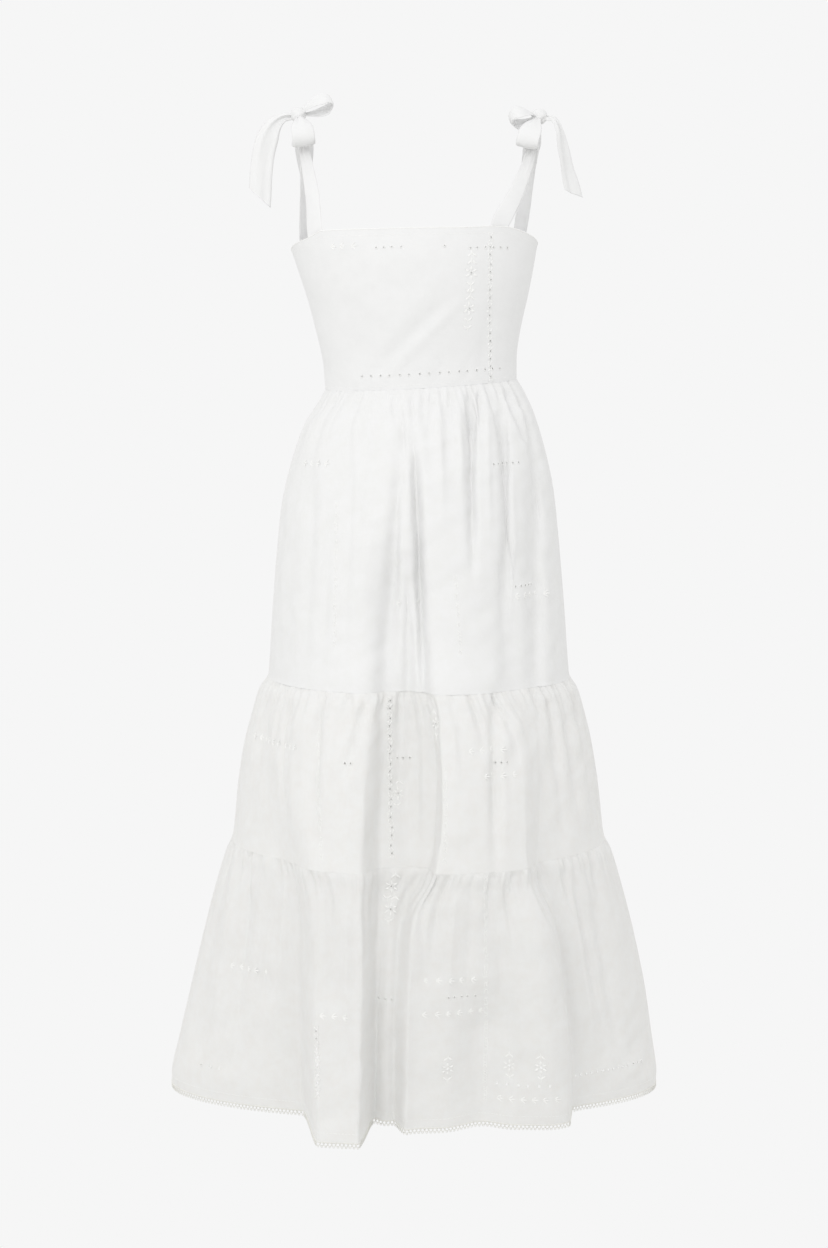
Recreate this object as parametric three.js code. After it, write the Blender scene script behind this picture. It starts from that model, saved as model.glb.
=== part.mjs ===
import * as THREE from 'three';

// White cotton maxi dress with tie straps, a fitted bodice and a skirt of three gathered tiers.
// Millimetres. The front faces -Y, +Z is up, and left and right are as seen from the front.
// The origin lies at shoulder height, midway between the two shoulder bows.

// Driving dimensions
const WALL = 1.6;
const SEAM_GAP = 0.3;
const WAIST = -318;
const SEAM_ONE = -709;
const SEAM_TWO = -929;
const HEM = -1265;
const LACE_HEIGHT = 7;
const WAIST_TILT = 0.058;
const HEM_DROP_PER_REACH = 0.15;
const OUTLINE_SAMPLES = 1200;
const FOLD_FADE = 0.4;
const HOLLOW_OPENED = 0.25;
const HOLLOW_CLOSING = 0.55;
const GATHER_MEAN = 0.65;
const GATHER_VARIATION = 0.35;
const GATHER_RHYTHM = 2.3;

// Bodice sections: the side widths follow the bust and the waist of a general figure.
const BODICE_SECTIONS = [
  { z: -105, centre: -3, half: 171, front: 108, back: 100 },
  { z: -133, centre: -2, half: 165, front: 112, back: 103 },
  { z: -165, centre: 1, half: 157, front: 115, back: 102 },
  { z: -205, centre: 4, half: 146.5, front: 112, back: 98 },
  { z: -242, centre: 5, half: 137.5, front: 106, back: 94 },
  { z: -280, centre: 6.5, half: 130, front: 99, back: 91 },
  { z: WAIST, centre: 8, half: 128, front: 95, back: 90 },
];

// Skirt sections, from the waist seam to the hem, without the folds.
const SKIRT_SECTIONS = [
  { z: WAIST, centre: 8, half: 128, front: 95, back: 90 },
  { z: -335, centre: 8, half: 138, front: 108, back: 101 },
  { z: -363, centre: 5.5, half: 153.5, front: 130, back: 122 },
  { z: -413, centre: 4.5, half: 170, front: 152, back: 142 },
  { z: -466, centre: 4, half: 182, front: 166, back: 155 },
  { z: -529, centre: 4, half: 189, front: 180, back: 166 },
  { z: -613, centre: 4.5, half: 196, front: 192, back: 176 },
  { z: -697, centre: 5, half: 202, front: 202, back: 185 },
  { z: SEAM_ONE, centre: 5, half: 204, front: 203, back: 187 },
  { z: -725, centre: 4.5, half: 214.5, front: 208, back: 192 },
  { z: -756, centre: 4.5, half: 224, front: 211, back: 196 },
  { z: -795, centre: 4, half: 234, front: 214, back: 200 },
  { z: -846, centre: 4, half: 242.5, front: 216, back: 204 },
  { z: -915, centre: 4.5, half: 250, front: 217, back: 207 },
  { z: SEAM_TWO, centre: 4.5, half: 253, front: 217, back: 208 },
  { z: -945, centre: 5, half: 261, front: 216, back: 210 },
  { z: -998, centre: 5, half: 277, front: 212, back: 212 },
  { z: -1056, centre: 5, half: 292, front: 204, back: 212 },
  { z: -1131, centre: 4, half: 309, front: 192, back: 210 },
  { z: -1199, centre: 1, half: 322, front: 181, back: 207 },
  { z: -1245, centre: -1, half: 331, front: 174, back: 205 },
  { z: HEM, centre: -1.5, half: 331, front: 171, back: 204 },
];

// Broad folds of the lower tiers: the X of both walls, how far the fold stands out, and how
// wide each wall's bend is, at each height.
const FRONT_FOLDS = [
  [
    { z: SEAM_ONE, left: -150, right: -30, reach: 8, leftBend: 60, rightBend: 60 },
    { z: -760, left: -168, right: -42, reach: 22, leftBend: 60, rightBend: 38 },
    { z: -846, left: -168, right: -52, reach: 34, leftBend: 60, rightBend: 32 },
    { z: SEAM_TWO, left: -152, right: -57, reach: 42, leftBend: 50, rightBend: 28 },
    { z: -985, left: -142, right: -57, reach: 48, leftBend: 40, rightBend: 26 },
    { z: -1056, left: -140, right: -57, reach: 54, leftBend: 34, rightBend: 25 },
    { z: -1131, left: -140, right: -59, reach: 66, leftBend: 30, rightBend: 24 },
    { z: HEM, left: -135, right: -62, reach: 90, leftBend: 26, rightBend: 22 },
  ],
  [
    { z: SEAM_ONE, left: 18, right: 118, reach: 10, leftBend: 20, rightBend: 40 },
    { z: -760, left: 27, right: 132, reach: 22, leftBend: 14, rightBend: 24 },
    { z: -846, left: 29, right: 141, reach: 34, leftBend: 14, rightBend: 20 },
    { z: SEAM_TWO, left: 19, right: 146, reach: 36, leftBend: 16, rightBend: 20 },
    { z: -985, left: -8, right: 160, reach: 34, leftBend: 20, rightBend: 20 },
    { z: -1056, left: -15, right: 176, reach: 35, leftBend: 22, rightBend: 18 },
    { z: -1131, left: -18, right: 188, reach: 38, leftBend: 22, rightBend: 16 },
    { z: HEM, left: -20, right: 196, reach: 42, leftBend: 20, rightBend: 16 },
  ],
];
const BACK_FOLDS = [
  [
    { z: SEAM_ONE, left: -140, right: -78, reach: 3, leftBend: 40, rightBend: 34 },
    { z: SEAM_TWO, left: -168, right: -88, reach: 18, leftBend: 40, rightBend: 30 },
    { z: HEM, left: -212, right: -112, reach: 48, leftBend: 34, rightBend: 26 },
  ],
  [
    { z: SEAM_ONE, left: -36, right: 26, reach: 4, leftBend: 34, rightBend: 34 },
    { z: SEAM_TWO, left: -42, right: 40, reach: 22, leftBend: 30, rightBend: 30 },
    { z: HEM, left: -50, right: 52, reach: 55, leftBend: 24, rightBend: 24 },
  ],
  [
    { z: SEAM_ONE, left: 84, right: 142, reach: 3, leftBend: 34, rightBend: 40 },
    { z: SEAM_TWO, left: 96, right: 172, reach: 16, leftBend: 30, rightBend: 40 },
    { z: HEM, left: 118, right: 216, reach: 44, leftBend: 26, rightBend: 34 },
  ],
];

// Long hollows of the upper tier, between the folds that hang from the waist, one that runs on into
// the lower tiers, and one of the hem.
const FRONT_HOLLOWS = [
  { topX: -92, lowX: -112, width: 26, depth: 5, from: -335, to: -600 },
  { topX: -60, lowX: -74, width: 22, depth: 6, from: -330, to: -560 },
  { topX: -34, lowX: -38, width: 24, depth: 11, from: -370, to: -745 },
  { topX: -3, lowX: 8, width: 20, depth: 15, from: -345, to: -740 },
  { topX: 40, lowX: 44, width: 18, depth: 5, from: -325, to: -450 },
  { topX: 64, lowX: 75, width: 18, depth: 12, from: -322, to: -590 },
  { topX: 104, lowX: 113, width: 18, depth: 11, from: -325, to: -640 },
  { topX: 116, lowX: 150, width: 26, depth: 12, from: -380, to: -715 },
  { topX: -16, lowX: -24, width: 72, depth: 18, from: -520, to: -1030 },
  { topX: 66, lowX: 56, width: 58, depth: 14, from: -1090, to: -1400 },
];
const BACK_HOLLOWS = [
  { topX: -96, lowX: -138, width: 24, depth: 9, from: -330, to: -700 },
  { topX: -62, lowX: -80, width: 20, depth: 12, from: -325, to: -620 },
  { topX: -30, lowX: -34, width: 20, depth: 10, from: -340, to: -715 },
  { topX: 6, lowX: 8, width: 20, depth: 14, from: -330, to: -640 },
  { topX: 42, lowX: 56, width: 20, depth: 10, from: -325, to: -715 },
  { topX: 80, lowX: 110, width: 22, depth: 12, from: -330, to: -660 },
];

// The three tiers: cells round each half, the share of the height at each ring, the gathers'
// swing there, and how far the front of each seam hangs below its sides.
const TIERS = [
  {
    name: 'skirt_tier1', top: WAIST, bottom: SEAM_ONE, tilt: WAIST_TILT, cells: 64,
    topDroop: 0, bottomDroop: 5, lobed: false,
    rings: [
      { share: 0, swing: 1.2 }, { share: 0.09, swing: 2.6 }, { share: 0.22, swing: 2.2 },
      { share: 0.4, swing: 1.4 }, { share: 0.6, swing: 0.8 }, { share: 0.8, swing: 0.4 },
      { share: 1, swing: 0 },
    ],
  },
  {
    name: 'skirt_tier2', top: SEAM_ONE, bottom: SEAM_TWO, tilt: 0, cells: 56,
    topDroop: 5, bottomDroop: 6, lobed: true,
    rings: [
      { share: 0, swing: 1.4 }, { share: 0.12, swing: 3 }, { share: 0.3, swing: 2.2 },
      { share: 0.52, swing: 1.2 }, { share: 0.76, swing: 0.6 }, { share: 1, swing: 0 },
    ],
  },
  {
    name: 'skirt_tier3', top: SEAM_TWO, bottom: HEM, tilt: 0, cells: 64,
    topDroop: 6, bottomDroop: 0, lobed: true,
    rings: [
      { share: 0, swing: 1.5 }, { share: 0.1, swing: 3.2 }, { share: 0.25, swing: 2.4 },
      { share: 0.45, swing: 1.6 }, { share: 0.64, swing: 1.2 }, { share: 0.82, swing: 1 },
      { share: 1, swing: 1 },
    ],
  },
];

// Upper edge of the bodice: turning angle from the middle, height, and the cells up to the next
// row. A strap rises between its two rows.
const FRONT_EDGE = [
  { at: 'side', angle: -90, z: -141, cells: 3 },
  { at: 'strap', angle: -57, z: -130, cells: 2 },
  { at: 'strap', angle: -46, z: -120, cells: 13 },
  { at: 'strap', angle: 37.5, z: -115, cells: 2 },
  { at: 'strap', angle: 48, z: -116, cells: 3 },
  { at: 'side', angle: 90, z: -133, cells: 0 },
];
const BACK_EDGE = [
  { at: 'side', angle: -90, z: -141, cells: 2 },
  { at: 'strap', angle: -73, z: -146, cells: 2 },
  { at: 'strap', angle: -60.5, z: -149, cells: 12 },
  { at: 'strap', angle: 55, z: -145, cells: 2 },
  { at: 'strap', angle: 66, z: -142, cells: 2 },
  { at: 'side', angle: 90, z: -133, cells: 0 },
];
const BODICE_RINGS = 6;

// Shoulder ties
const TIE_WIDTH = 30;
const TIE_PINCH = 10;
const TIE_CROWN = 1.5;
const STRAP_TOP_WIDTH = 14;
const STRAP_TOP_OFFSET = 2.8;
const STRAP_NARROWED = 0.8;
const STRAP_STEPS = 8;
const KNOT_RADIUS = 11;
const LOOP_STEPS = 14;
const LOOP_END_SPLIT = 3;
const LOOP_ROUNDNESS = 1.1;
const LOOP_WIDENED = 0.8;
const TAIL_WIDENED = 0.4;
const TAIL_STEPS = 10;
const TAIL_SLANT_RISE = 4;
const SHOULDERS = [
  {
    side: 'left', knot: [-155, 0, 38], strapAside: 5,
    frontVia: [[-135, -44, -72], [-146, -13, -10]],
    backVia: [[-146, 38, -82], [-147, 18, -14]],
    loops: [
      {
        name: 'upper', aim: [0.92, -0.12, 0.36], spread: [-0.25, -0.7, 0.65],
        length: 48, belly: 8, width: 24, narrowed: 0.3,
      },
      {
        name: 'lower', aim: [0.16, -0.7, -0.7], spread: [0, 0.7, -0.7],
        length: 58, belly: 10, width: 30, narrowed: 0,
      },
    ],
    tails: [
      {
        name: 'front', across: [[0.3, 0, 1], [-1, 0, 0.1]], slant: -24,
        route: [[-176, -6, 33], [-188, -8, 22], [-197, -8, 2], [-203, -8, -28], [-206, -8, -72]],
      },
      {
        name: 'back', across: [[1, 0.4, 0], [0.2, 1, 0]], slant: 12,
        route: [[-151, 24, 24], [-148, 42, -6], [-147, 60, -36], [-147, 70, -64]],
      },
    ],
  },
  {
    side: 'right', knot: [165, 0, 36], strapAside: -6,
    frontVia: [[134, -44, -66], [154, -14, -10]],
    backVia: [[147, 38, -76], [156, 18, -14]],
    loops: [
      {
        name: 'upper', aim: [-0.92, -0.34, -0.1], spread: [0, -0.7, 0.65],
        length: 41, belly: 8, width: 24, narrowed: 0.3,
      },
      {
        name: 'lower', aim: [-0.29, -0.68, -0.67], spread: [0, 0.7, -0.7],
        length: 62, belly: 9, width: 30, narrowed: 0,
      },
    ],
    tails: [
      {
        name: 'front', across: [[0.2, 0.9, 0.3], [0.75, 0.6, 0.15]], slant: 14,
        route: [[184, -4, 32], [192, -6, 18], [198, -7, -8], [203, -7, -33], [211, -8, -66]],
      },
      {
        name: 'back', across: [[1, 0.4, 0], [0.5, 1, 0]], slant: 12,
        route: [[160, 24, 18], [156, 42, -10], [152, 58, -36], [149, 68, -60]],
      },
    ],
  },
];

// Cotton as the eye sees it: chalk white above, a little greyer where a single layer hangs.
const LINED_COTTON = { color: '#f6f6f4', roughness: 0.9, metalness: 0 };
const SINGLE_COTTON = { color: '#efefeb', roughness: 0.9, metalness: 0 };
const COTTON_LACE = { color: '#f3f2ec', roughness: 0.95, metalness: 0 };

const FRONT = { sign: -1, depth: 'front', folds: FRONT_FOLDS, hollows: FRONT_HOLLOWS, edge: FRONT_EDGE };
const BACK = { sign: 1, depth: 'back', folds: BACK_FOLDS, hollows: BACK_HOLLOWS, edge: BACK_EDGE };

const { lerp, smoothstep, degToRad } = THREE.MathUtils;
const vector = (values) => new THREE.Vector3(...values);

// Reads one column of a table at a height, on a smooth curve through its rows.
function readColumn(rows, column, z) {
  const last = rows.length - 1;
  const clamped = Math.min(rows[0].z, Math.max(rows[last].z, z));
  let i = 0;
  while (i < last - 1 && clamped < rows[i + 1].z) i += 1;
  const slope = (k) => {
    const above = rows[Math.max(0, k - 1)];
    const below = rows[Math.min(last, k + 1)];
    return (below[column] - above[column]) / (below.z - above.z);
  };
  const span = rows[i + 1].z - rows[i].z;
  const t = (clamped - rows[i].z) / span;
  const start = rows[i][column] * (1 + 2 * t) * (1 - t) ** 2 + span * slope(i) * t * (1 - t) ** 2;
  const end = rows[i + 1][column] * t * t * (3 - 2 * t) + span * slope(i + 1) * t * t * (t - 1);
  return start + end;
}

// How far the folds and hollows of one side move the cloth out at a place.
function foldReach(half, x, z) {
  let reach = 0;
  for (const rows of half.folds) {
    if (z > rows[0].z) continue;
    const columns = ['left', 'right', 'reach', 'leftBend', 'rightBend'];
    const [left, right, out, leftBend, rightBend] = columns.map((column) => readColumn(rows, column, z));
    const rise = smoothstep(x, left - leftBend / 2, left + leftBend / 2);
    const fall = 1 - smoothstep(x, right - rightBend / 2, right + rightBend / 2);
    reach += out * rise * fall;
  }
  for (const hollow of half.hollows) {
    const run = (hollow.from - z) / (hollow.from - hollow.to);
    if (run <= 0 || run >= 1) continue;
    const middle = lerp(hollow.topX, hollow.lowX, run);
    const fade = smoothstep(run, 0, HOLLOW_OPENED) * (1 - smoothstep(run, HOLLOW_CLOSING, 1));
    reach -= hollow.depth * fade * Math.exp(-(((x - middle) / (hollow.width / 2)) ** 2));
  }
  return reach;
}

// A point of a section, at a turning angle from the middle of its side.
function sectionPoint(sections, half, z, angle) {
  const x = readColumn(sections, 'centre', z) + readColumn(sections, 'half', z) * Math.sin(angle);
  const out = readColumn(sections, half.depth, z) * Math.cos(angle);
  return { x, out };
}

// The skirt's outline on one side at a height, with the arc length up to each point.
function skirtOutline(half, z) {
  const points = [];
  let arc = 0;
  for (let k = 0; k <= OUTLINE_SAMPLES; k += 1) {
    const angle = lerp(-Math.PI / 2, Math.PI / 2, k / OUTLINE_SAMPLES);
    const { x, out } = sectionPoint(SKIRT_SECTIONS, half, z, angle);
    const reach = foldReach(half, x, z) * smoothstep(Math.cos(angle), 0, FOLD_FADE);
    const y = half.sign * (out + reach + SEAM_GAP / 2);
    if (k > 0) arc += Math.hypot(x - points[k - 1].x, y - points[k - 1].y);
    points.push({ x, y, arc, reach });
  }
  return points;
}

// Arc lengths of the side seams and of the fold walls between them, which stay on one thread line.
function threadLines(half, outline, z, lobed) {
  const lines = [0];
  for (const rows of lobed ? half.folds : []) {
    for (const wall of ['left', 'right']) {
      const wallX = readColumn(rows, wall, z);
      lines.push(outline.find((point) => point.x >= wallX).arc);
    }
  }
  lines.push(outline.at(-1).arc);
  return lines;
}

// The place and outward direction at an arc length along an outline.
function placeAt(half, outline, arc) {
  let k = 1;
  while (k < outline.length - 1 && outline[k].arc < arc) k += 1;
  const before = outline[k - 1];
  const after = outline[k];
  const t = (arc - before.arc) / (after.arc - before.arc);
  const early = outline[Math.max(0, k - 4)];
  const late = outline[Math.min(outline.length - 1, k + 3)];
  const atSeam = arc <= 0 || arc >= outline.at(-1).arc;
  const normal = atSeam
    ? new THREE.Vector2(Math.sign(arc - 1), 0)
    : new THREE.Vector2(-half.sign * (late.y - early.y), half.sign * (late.x - early.x)).normalize();
  return {
    x: lerp(before.x, after.x, t),
    y: lerp(before.y, after.y, t),
    reach: lerp(before.reach, after.reach, t),
    normal,
  };
}

// Closes a wall between two grids of points, row by row.
function wallGeometry(outer, inner) {
  const rows = outer.length;
  const columns = outer[0].length;
  const index = (face, row, column) => (face * rows + row) * columns + column;
  const triangles = [];
  const quad = (a, b, c, d) => triangles.push(a, b, c, a, c, d);
  for (let r = 0; r < rows - 1; r += 1) {
    for (let c = 0; c < columns - 1; c += 1) {
      quad(index(0, r, c), index(0, r + 1, c), index(0, r + 1, c + 1), index(0, r, c + 1));
      quad(index(1, r, c), index(1, r, c + 1), index(1, r + 1, c + 1), index(1, r + 1, c));
    }
    const end = columns - 1;
    quad(index(0, r, 0), index(1, r, 0), index(1, r + 1, 0), index(0, r + 1, 0));
    quad(index(0, r, end), index(0, r + 1, end), index(1, r + 1, end), index(1, r, end));
  }
  for (let c = 0; c < columns - 1; c += 1) {
    const low = rows - 1;
    quad(index(0, 0, c), index(0, 0, c + 1), index(1, 0, c + 1), index(1, 0, c));
    quad(index(0, low, c), index(1, low, c), index(1, low, c + 1), index(0, low, c + 1));
  }
  const points = [...outer.flat(), ...inner.flat()];
  let volume = 0;
  for (let k = 0; k < triangles.length; k += 3) {
    const [a, b, c] = triangles.slice(k, k + 3).map((corner) => points[corner]);
    volume += a.dot(b.clone().cross(c));
  }
  if (volume < 0) triangles.reverse();
  const geometry = new THREE.BufferGeometry();
  const values = points.flatMap((point) => point.toArray());
  geometry.setAttribute('position', new THREE.Float32BufferAttribute(values, 3));
  geometry.setIndex(triangles);
  geometry.computeVertexNormals();
  return geometry;
}

// Both faces of one half of a tier, as rows of points from its upper seam down.
function tierRows(tier, half) {
  const lowOutline = skirtOutline(half, tier.bottom);
  const lowLines = threadLines(half, lowOutline, tier.bottom, tier.lobed);
  const outer = [];
  const inner = [];
  for (const ring of tier.rings) {
    const level = lerp(tier.top, tier.bottom, ring.share);
    const outline = skirtOutline(half, level);
    const lines = threadLines(half, outline, level, tier.lobed);
    const frontDepth = readColumn(SKIRT_SECTIONS, 'front', level);
    const droop = lerp(tier.topDroop, tier.bottomDroop, ring.share);
    const seamShift = lerp(-SEAM_GAP / 2, SEAM_GAP / 2, ring.share);
    const outerRow = [];
    const innerRow = [];
    for (let c = 0; c <= tier.cells; c += 1) {
      const lowArc = (c / tier.cells) * lowLines.at(-1);
      let span = 0;
      while (span < lowLines.length - 2 && lowArc > lowLines[span + 1]) span += 1;
      const share = (lowArc - lowLines[span]) / (lowLines[span + 1] - lowLines[span]);
      const place = placeAt(half, outline, lerp(lines[span], lines[span + 1], share));
      const atSide = c === 0 || c === tier.cells;
      const uneven = GATHER_MEAN + GATHER_VARIATION * Math.sin(c * GATHER_RHYTHM);
      const swing = atSide ? 0 : ring.swing * uneven * (c % 2 === 0 ? 1 : -1);
      const z = level + seamShift
        + (1 - ring.share) * tier.tilt * place.x
        - droop * Math.max(0, -place.y) / frontDepth
        - (tier.bottom === HEM ? ring.share * HEM_DROP_PER_REACH * place.reach : 0);
      outerRow.push(new THREE.Vector3(place.x + place.normal.x * swing, place.y + place.normal.y * swing, z));
      innerRow.push(new THREE.Vector3(
        place.x + place.normal.x * (swing - WALL),
        place.y + place.normal.y * (swing - WALL),
        z,
      ));
    }
    outer.push(outerRow);
    inner.push(innerRow);
  }
  return { outer, inner };
}

// The lace edging hangs from the points of the lowest row.
function laceRows({ outer, inner }) {
  const lowered = (row, drop) => row.map((point) => point.clone().setZ(point.z - drop));
  const hang = (row) => [lowered(row, SEAM_GAP), lowered(row, LACE_HEIGHT)];
  return { outer: hang(outer.at(-1)), inner: hang(inner.at(-1)) };
}

// Turning angles and heights along the upper edge of one half of the bodice.
function edgeColumns(edge) {
  const columns = [];
  for (let k = 0; k < edge.length - 1; k += 1) {
    for (let c = 0; c < edge[k].cells; c += 1) {
      const t = c / edge[k].cells;
      const angle = lerp(edge[k].angle, edge[k + 1].angle, t);
      columns.push({ angle, z: lerp(edge[k].z, edge[k + 1].z, t) });
    }
  }
  columns.push({ angle: edge.at(-1).angle, z: edge.at(-1).z });
  return columns;
}

// Both faces of one half of the bodice, from its upper edge down to the waist seam.
function bodiceRows(half) {
  const outer = [];
  const inner = [];
  for (let r = 0; r <= BODICE_RINGS; r += 1) {
    const down = r / BODICE_RINGS;
    const faces = edgeColumns(half.edge).map((column) => {
      const level = lerp(column.z, WAIST, down);
      const angle = degToRad(column.angle);
      const { x, out } = sectionPoint(BODICE_SECTIONS, half, level, angle);
      const width = readColumn(BODICE_SECTIONS, 'half', level);
      const depth = readColumn(BODICE_SECTIONS, half.depth, level);
      const normal = new THREE.Vector2(Math.sin(angle) / width, half.sign * Math.cos(angle) / depth);
      normal.normalize();
      const y = half.sign * (out + SEAM_GAP / 2);
      const z = level + down * (WAIST_TILT * x + SEAM_GAP / 2);
      return [
        new THREE.Vector3(x, y, z),
        new THREE.Vector3(x - normal.x * WALL, y - normal.y * WALL, z),
      ];
    });
    outer.push(faces.map((face) => face[0]));
    inner.push(faces.map((face) => face[1]));
  }
  return { outer, inner };
}

// The column of a bodice half where the strap of one side begins.
function strapColumn(edge, side) {
  const straps = edge.filter((row) => row.at === 'strap');
  const first = edge.indexOf(side === 'left' ? straps[0] : straps.at(-2));
  return edge.slice(0, first).reduce((sum, row) => sum + row.cells, 0);
}

// Rows of a ribbon along a route: three points across, with its middle a little crowned. A slant
// makes one edge longer than the other at the free end.
function ribbonRows(route, widthAt, acrossAt, slant = 0) {
  const outer = [];
  const inner = [];
  route.forEach((place, k) => {
    const t = k / (route.length - 1);
    const ahead = route[Math.min(route.length - 1, k + 1)];
    const behind = route[Math.max(0, k - 1)];
    const along = ahead.clone().sub(behind).normalize();
    const across = acrossAt(t).clone().addScaledVector(along, -acrossAt(t).dot(along)).normalize();
    const normal = across.clone().cross(along);
    const crown = TIE_CROWN * Math.min(1, widthAt(t) / TIE_WIDTH);
    const row = (offset) => [-0.5, 0, 0.5].map((side) => place.clone()
      .addScaledVector(across, side * widthAt(t))
      .addScaledVector(along, side * slant * t ** TAIL_SLANT_RISE)
      .addScaledVector(normal, offset + (side === 0 ? crown : 0)));
    outer.push(row(WALL / 2));
    inner.push(row(-WALL / 2));
  });
  return { outer, inner };
}

// A strap rises from three columns of a bodice half's upper edge to the underside of its knot.
function strapRows(half, shoulder, via, knot) {
  const firstColumn = strapColumn(half.edge, shoulder.side);
  const lift = new THREE.Vector3(0, 0, SEAM_GAP);
  const base = [half.bodice.outer[0], half.bodice.inner[0]]
    .map((row) => row.slice(firstColumn, firstColumn + 3).map((point) => point.clone().add(lift)));
  const foot = base[0][1].clone().lerp(base[1][1], 0.5);
  const reach = new THREE.Vector3(shoulder.strapAside, half.sign * STRAP_TOP_OFFSET, -KNOT_RADIUS - SEAM_GAP);
  const top = knot.clone().add(reach);
  const curve = new THREE.CatmullRomCurve3([foot, ...via.map(vector), top]);
  const footAcross = base[0][2].clone().sub(base[0][0]);
  const footWidth = footAcross.length();
  const rows = ribbonRows(
    curve.getSpacedPoints(STRAP_STEPS),
    (t) => lerp(footWidth, STRAP_TOP_WIDTH, smoothstep(t, 0, STRAP_NARROWED)),
    (t) => footAcross.clone().normalize().lerp(new THREE.Vector3(1, 0, 0), t),
  );
  const facesOut = rows.outer[1][1].y * half.sign > rows.inner[1][1].y * half.sign;
  const outer = facesOut ? rows.outer : rows.inner;
  const inner = facesOut ? rows.inner : rows.outer;
  return { outer: [base[0], ...outer.slice(1)], inner: [base[1], ...inner.slice(1)] };
}

// A bow loop leaves the knot, turns round at its tip and comes back beside its start.
function loopRows(knot, loop) {
  const aim = vector(loop.aim).normalize();
  const spread = vector(loop.spread);
  spread.addScaledVector(aim, -spread.dot(aim)).normalize();
  const across = aim.clone().cross(spread);
  const start = KNOT_RADIUS + SEAM_GAP;
  const route = [];
  for (let k = 0; k <= LOOP_STEPS; k += 1) {
    const t = k / LOOP_STEPS;
    const out = start + (loop.length - start) * Math.sin(Math.PI * t) ** LOOP_ROUNDNESS;
    const aside = LOOP_END_SPLIT * Math.cos(Math.PI * t) + loop.belly * Math.sin(2 * Math.PI * t);
    route.push(knot.clone().addScaledVector(aim, out).addScaledVector(spread, aside));
  }
  const widthAt = (t) => {
    const turn = Math.sin(Math.PI * t);
    const opened = lerp(TIE_PINCH, loop.width, smoothstep(turn, 0.05, LOOP_WIDENED));
    return opened * (1 - loop.narrowed * smoothstep(turn, LOOP_WIDENED, 1));
  };
  return ribbonRows(route, widthAt, () => across);
}

// A tail leaves the knot towards the first point of its route, hangs down and ends free.
function tailRows(knot, tail) {
  const route = tail.route.map(vector);
  const start = route[0].clone().sub(knot).setLength(KNOT_RADIUS + SEAM_GAP).add(knot);
  const curve = new THREE.CatmullRomCurve3([start, ...route]);
  const [first, last] = tail.across.map((values) => vector(values).normalize());
  return ribbonRows(
    curve.getSpacedPoints(TAIL_STEPS),
    (t) => lerp(TIE_PINCH, TIE_WIDTH, smoothstep(t, 0, TAIL_WIDENED)),
    (t) => first.clone().lerp(last, t),
    tail.slant,
  );
}

const dress = new THREE.Group();

function addPiece(name, geometry, finish) {
  const mesh = new THREE.Mesh(geometry, new THREE.MeshStandardMaterial(finish));
  mesh.name = name;
  dress.add(mesh);
  return mesh;
}

function addWall(name, rows, finish) {
  return addPiece(name, wallGeometry(rows.outer, rows.inner), finish);
}

for (const half of [FRONT, BACK]) {
  half.bodice = bodiceRows(half);
  addWall(`bodice_${half.depth}`, half.bodice, LINED_COTTON);
  for (const tier of TIERS) {
    const rows = tierRows(tier, half);
    addWall(`${tier.name}_${half.depth}`, rows, tier.lobed ? SINGLE_COTTON : LINED_COTTON);
    if (tier.bottom === HEM) addWall(`hem_lace_${half.depth}`, laceRows(rows), COTTON_LACE);
  }
}

for (const shoulder of SHOULDERS) {
  const knot = vector(shoulder.knot);
  for (const [half, via] of [[FRONT, shoulder.frontVia], [BACK, shoulder.backVia]]) {
    const rows = strapRows(half, shoulder, via, knot);
    addWall(`strap_${half.depth}_${shoulder.side}`, rows, LINED_COTTON);
  }
  const knotBody = new THREE.IcosahedronGeometry(KNOT_RADIUS, 2);
  addPiece(`bow_knot_${shoulder.side}`, knotBody, LINED_COTTON).position.copy(knot);
  for (const loop of shoulder.loops) {
    addWall(`bow_loop_${loop.name}_${shoulder.side}`, loopRows(knot, loop), SINGLE_COTTON);
  }
  for (const tail of shoulder.tails) {
    addWall(`bow_tail_${tail.name}_${shoulder.side}`, tailRows(knot, tail), SINGLE_COTTON);
  }
}

export default dress;
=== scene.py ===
"""White cotton maxi dress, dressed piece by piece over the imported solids.

Sizes are millimetres in the dress's own frame: the front faces -Y, +Z is up, left and right are as
seen from the front. A mesh is turned to metres when it is made.
"""
import logging
import math
from dataclasses import dataclass, field
from enum import Enum
from typing import Optional, Sequence

import bpy
import numpy as np
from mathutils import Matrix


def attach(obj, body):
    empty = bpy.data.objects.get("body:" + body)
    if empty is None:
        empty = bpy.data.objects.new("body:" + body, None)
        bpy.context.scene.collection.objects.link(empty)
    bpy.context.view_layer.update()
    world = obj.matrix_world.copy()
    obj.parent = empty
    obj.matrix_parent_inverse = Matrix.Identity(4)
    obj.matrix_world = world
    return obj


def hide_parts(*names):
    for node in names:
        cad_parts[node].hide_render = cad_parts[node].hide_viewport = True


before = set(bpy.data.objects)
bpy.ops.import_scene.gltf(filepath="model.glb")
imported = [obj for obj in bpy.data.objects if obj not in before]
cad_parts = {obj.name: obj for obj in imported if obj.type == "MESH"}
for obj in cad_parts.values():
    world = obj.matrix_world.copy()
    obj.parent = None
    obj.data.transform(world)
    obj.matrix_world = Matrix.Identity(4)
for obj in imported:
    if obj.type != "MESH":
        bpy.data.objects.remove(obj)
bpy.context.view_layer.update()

LOG = logging.getLogger("maxi_dress")
MM = 0.001
BODY = "root"

# Heights of the seams and of the hem.
WAIST = -318.0
SEAM_ONE = -709.0
SEAM_TWO = -929.0
HEM = -1265.0
# The waist seam rises to the right and sags in the middle of the front.
WAIST_TILT = 0.058
WAIST_DROOP = 8.0
# The hem hangs lower where a fold stands out.
HEM_DROP_PER_REACH = 0.15
# Broad folds die out towards the side seams, below this cosine of the turning angle.
FOLD_FADE = 0.4
# Height over which a broad fold grows out of the cloth above its first row.
FOLD_LEAD = 70.0
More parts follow.
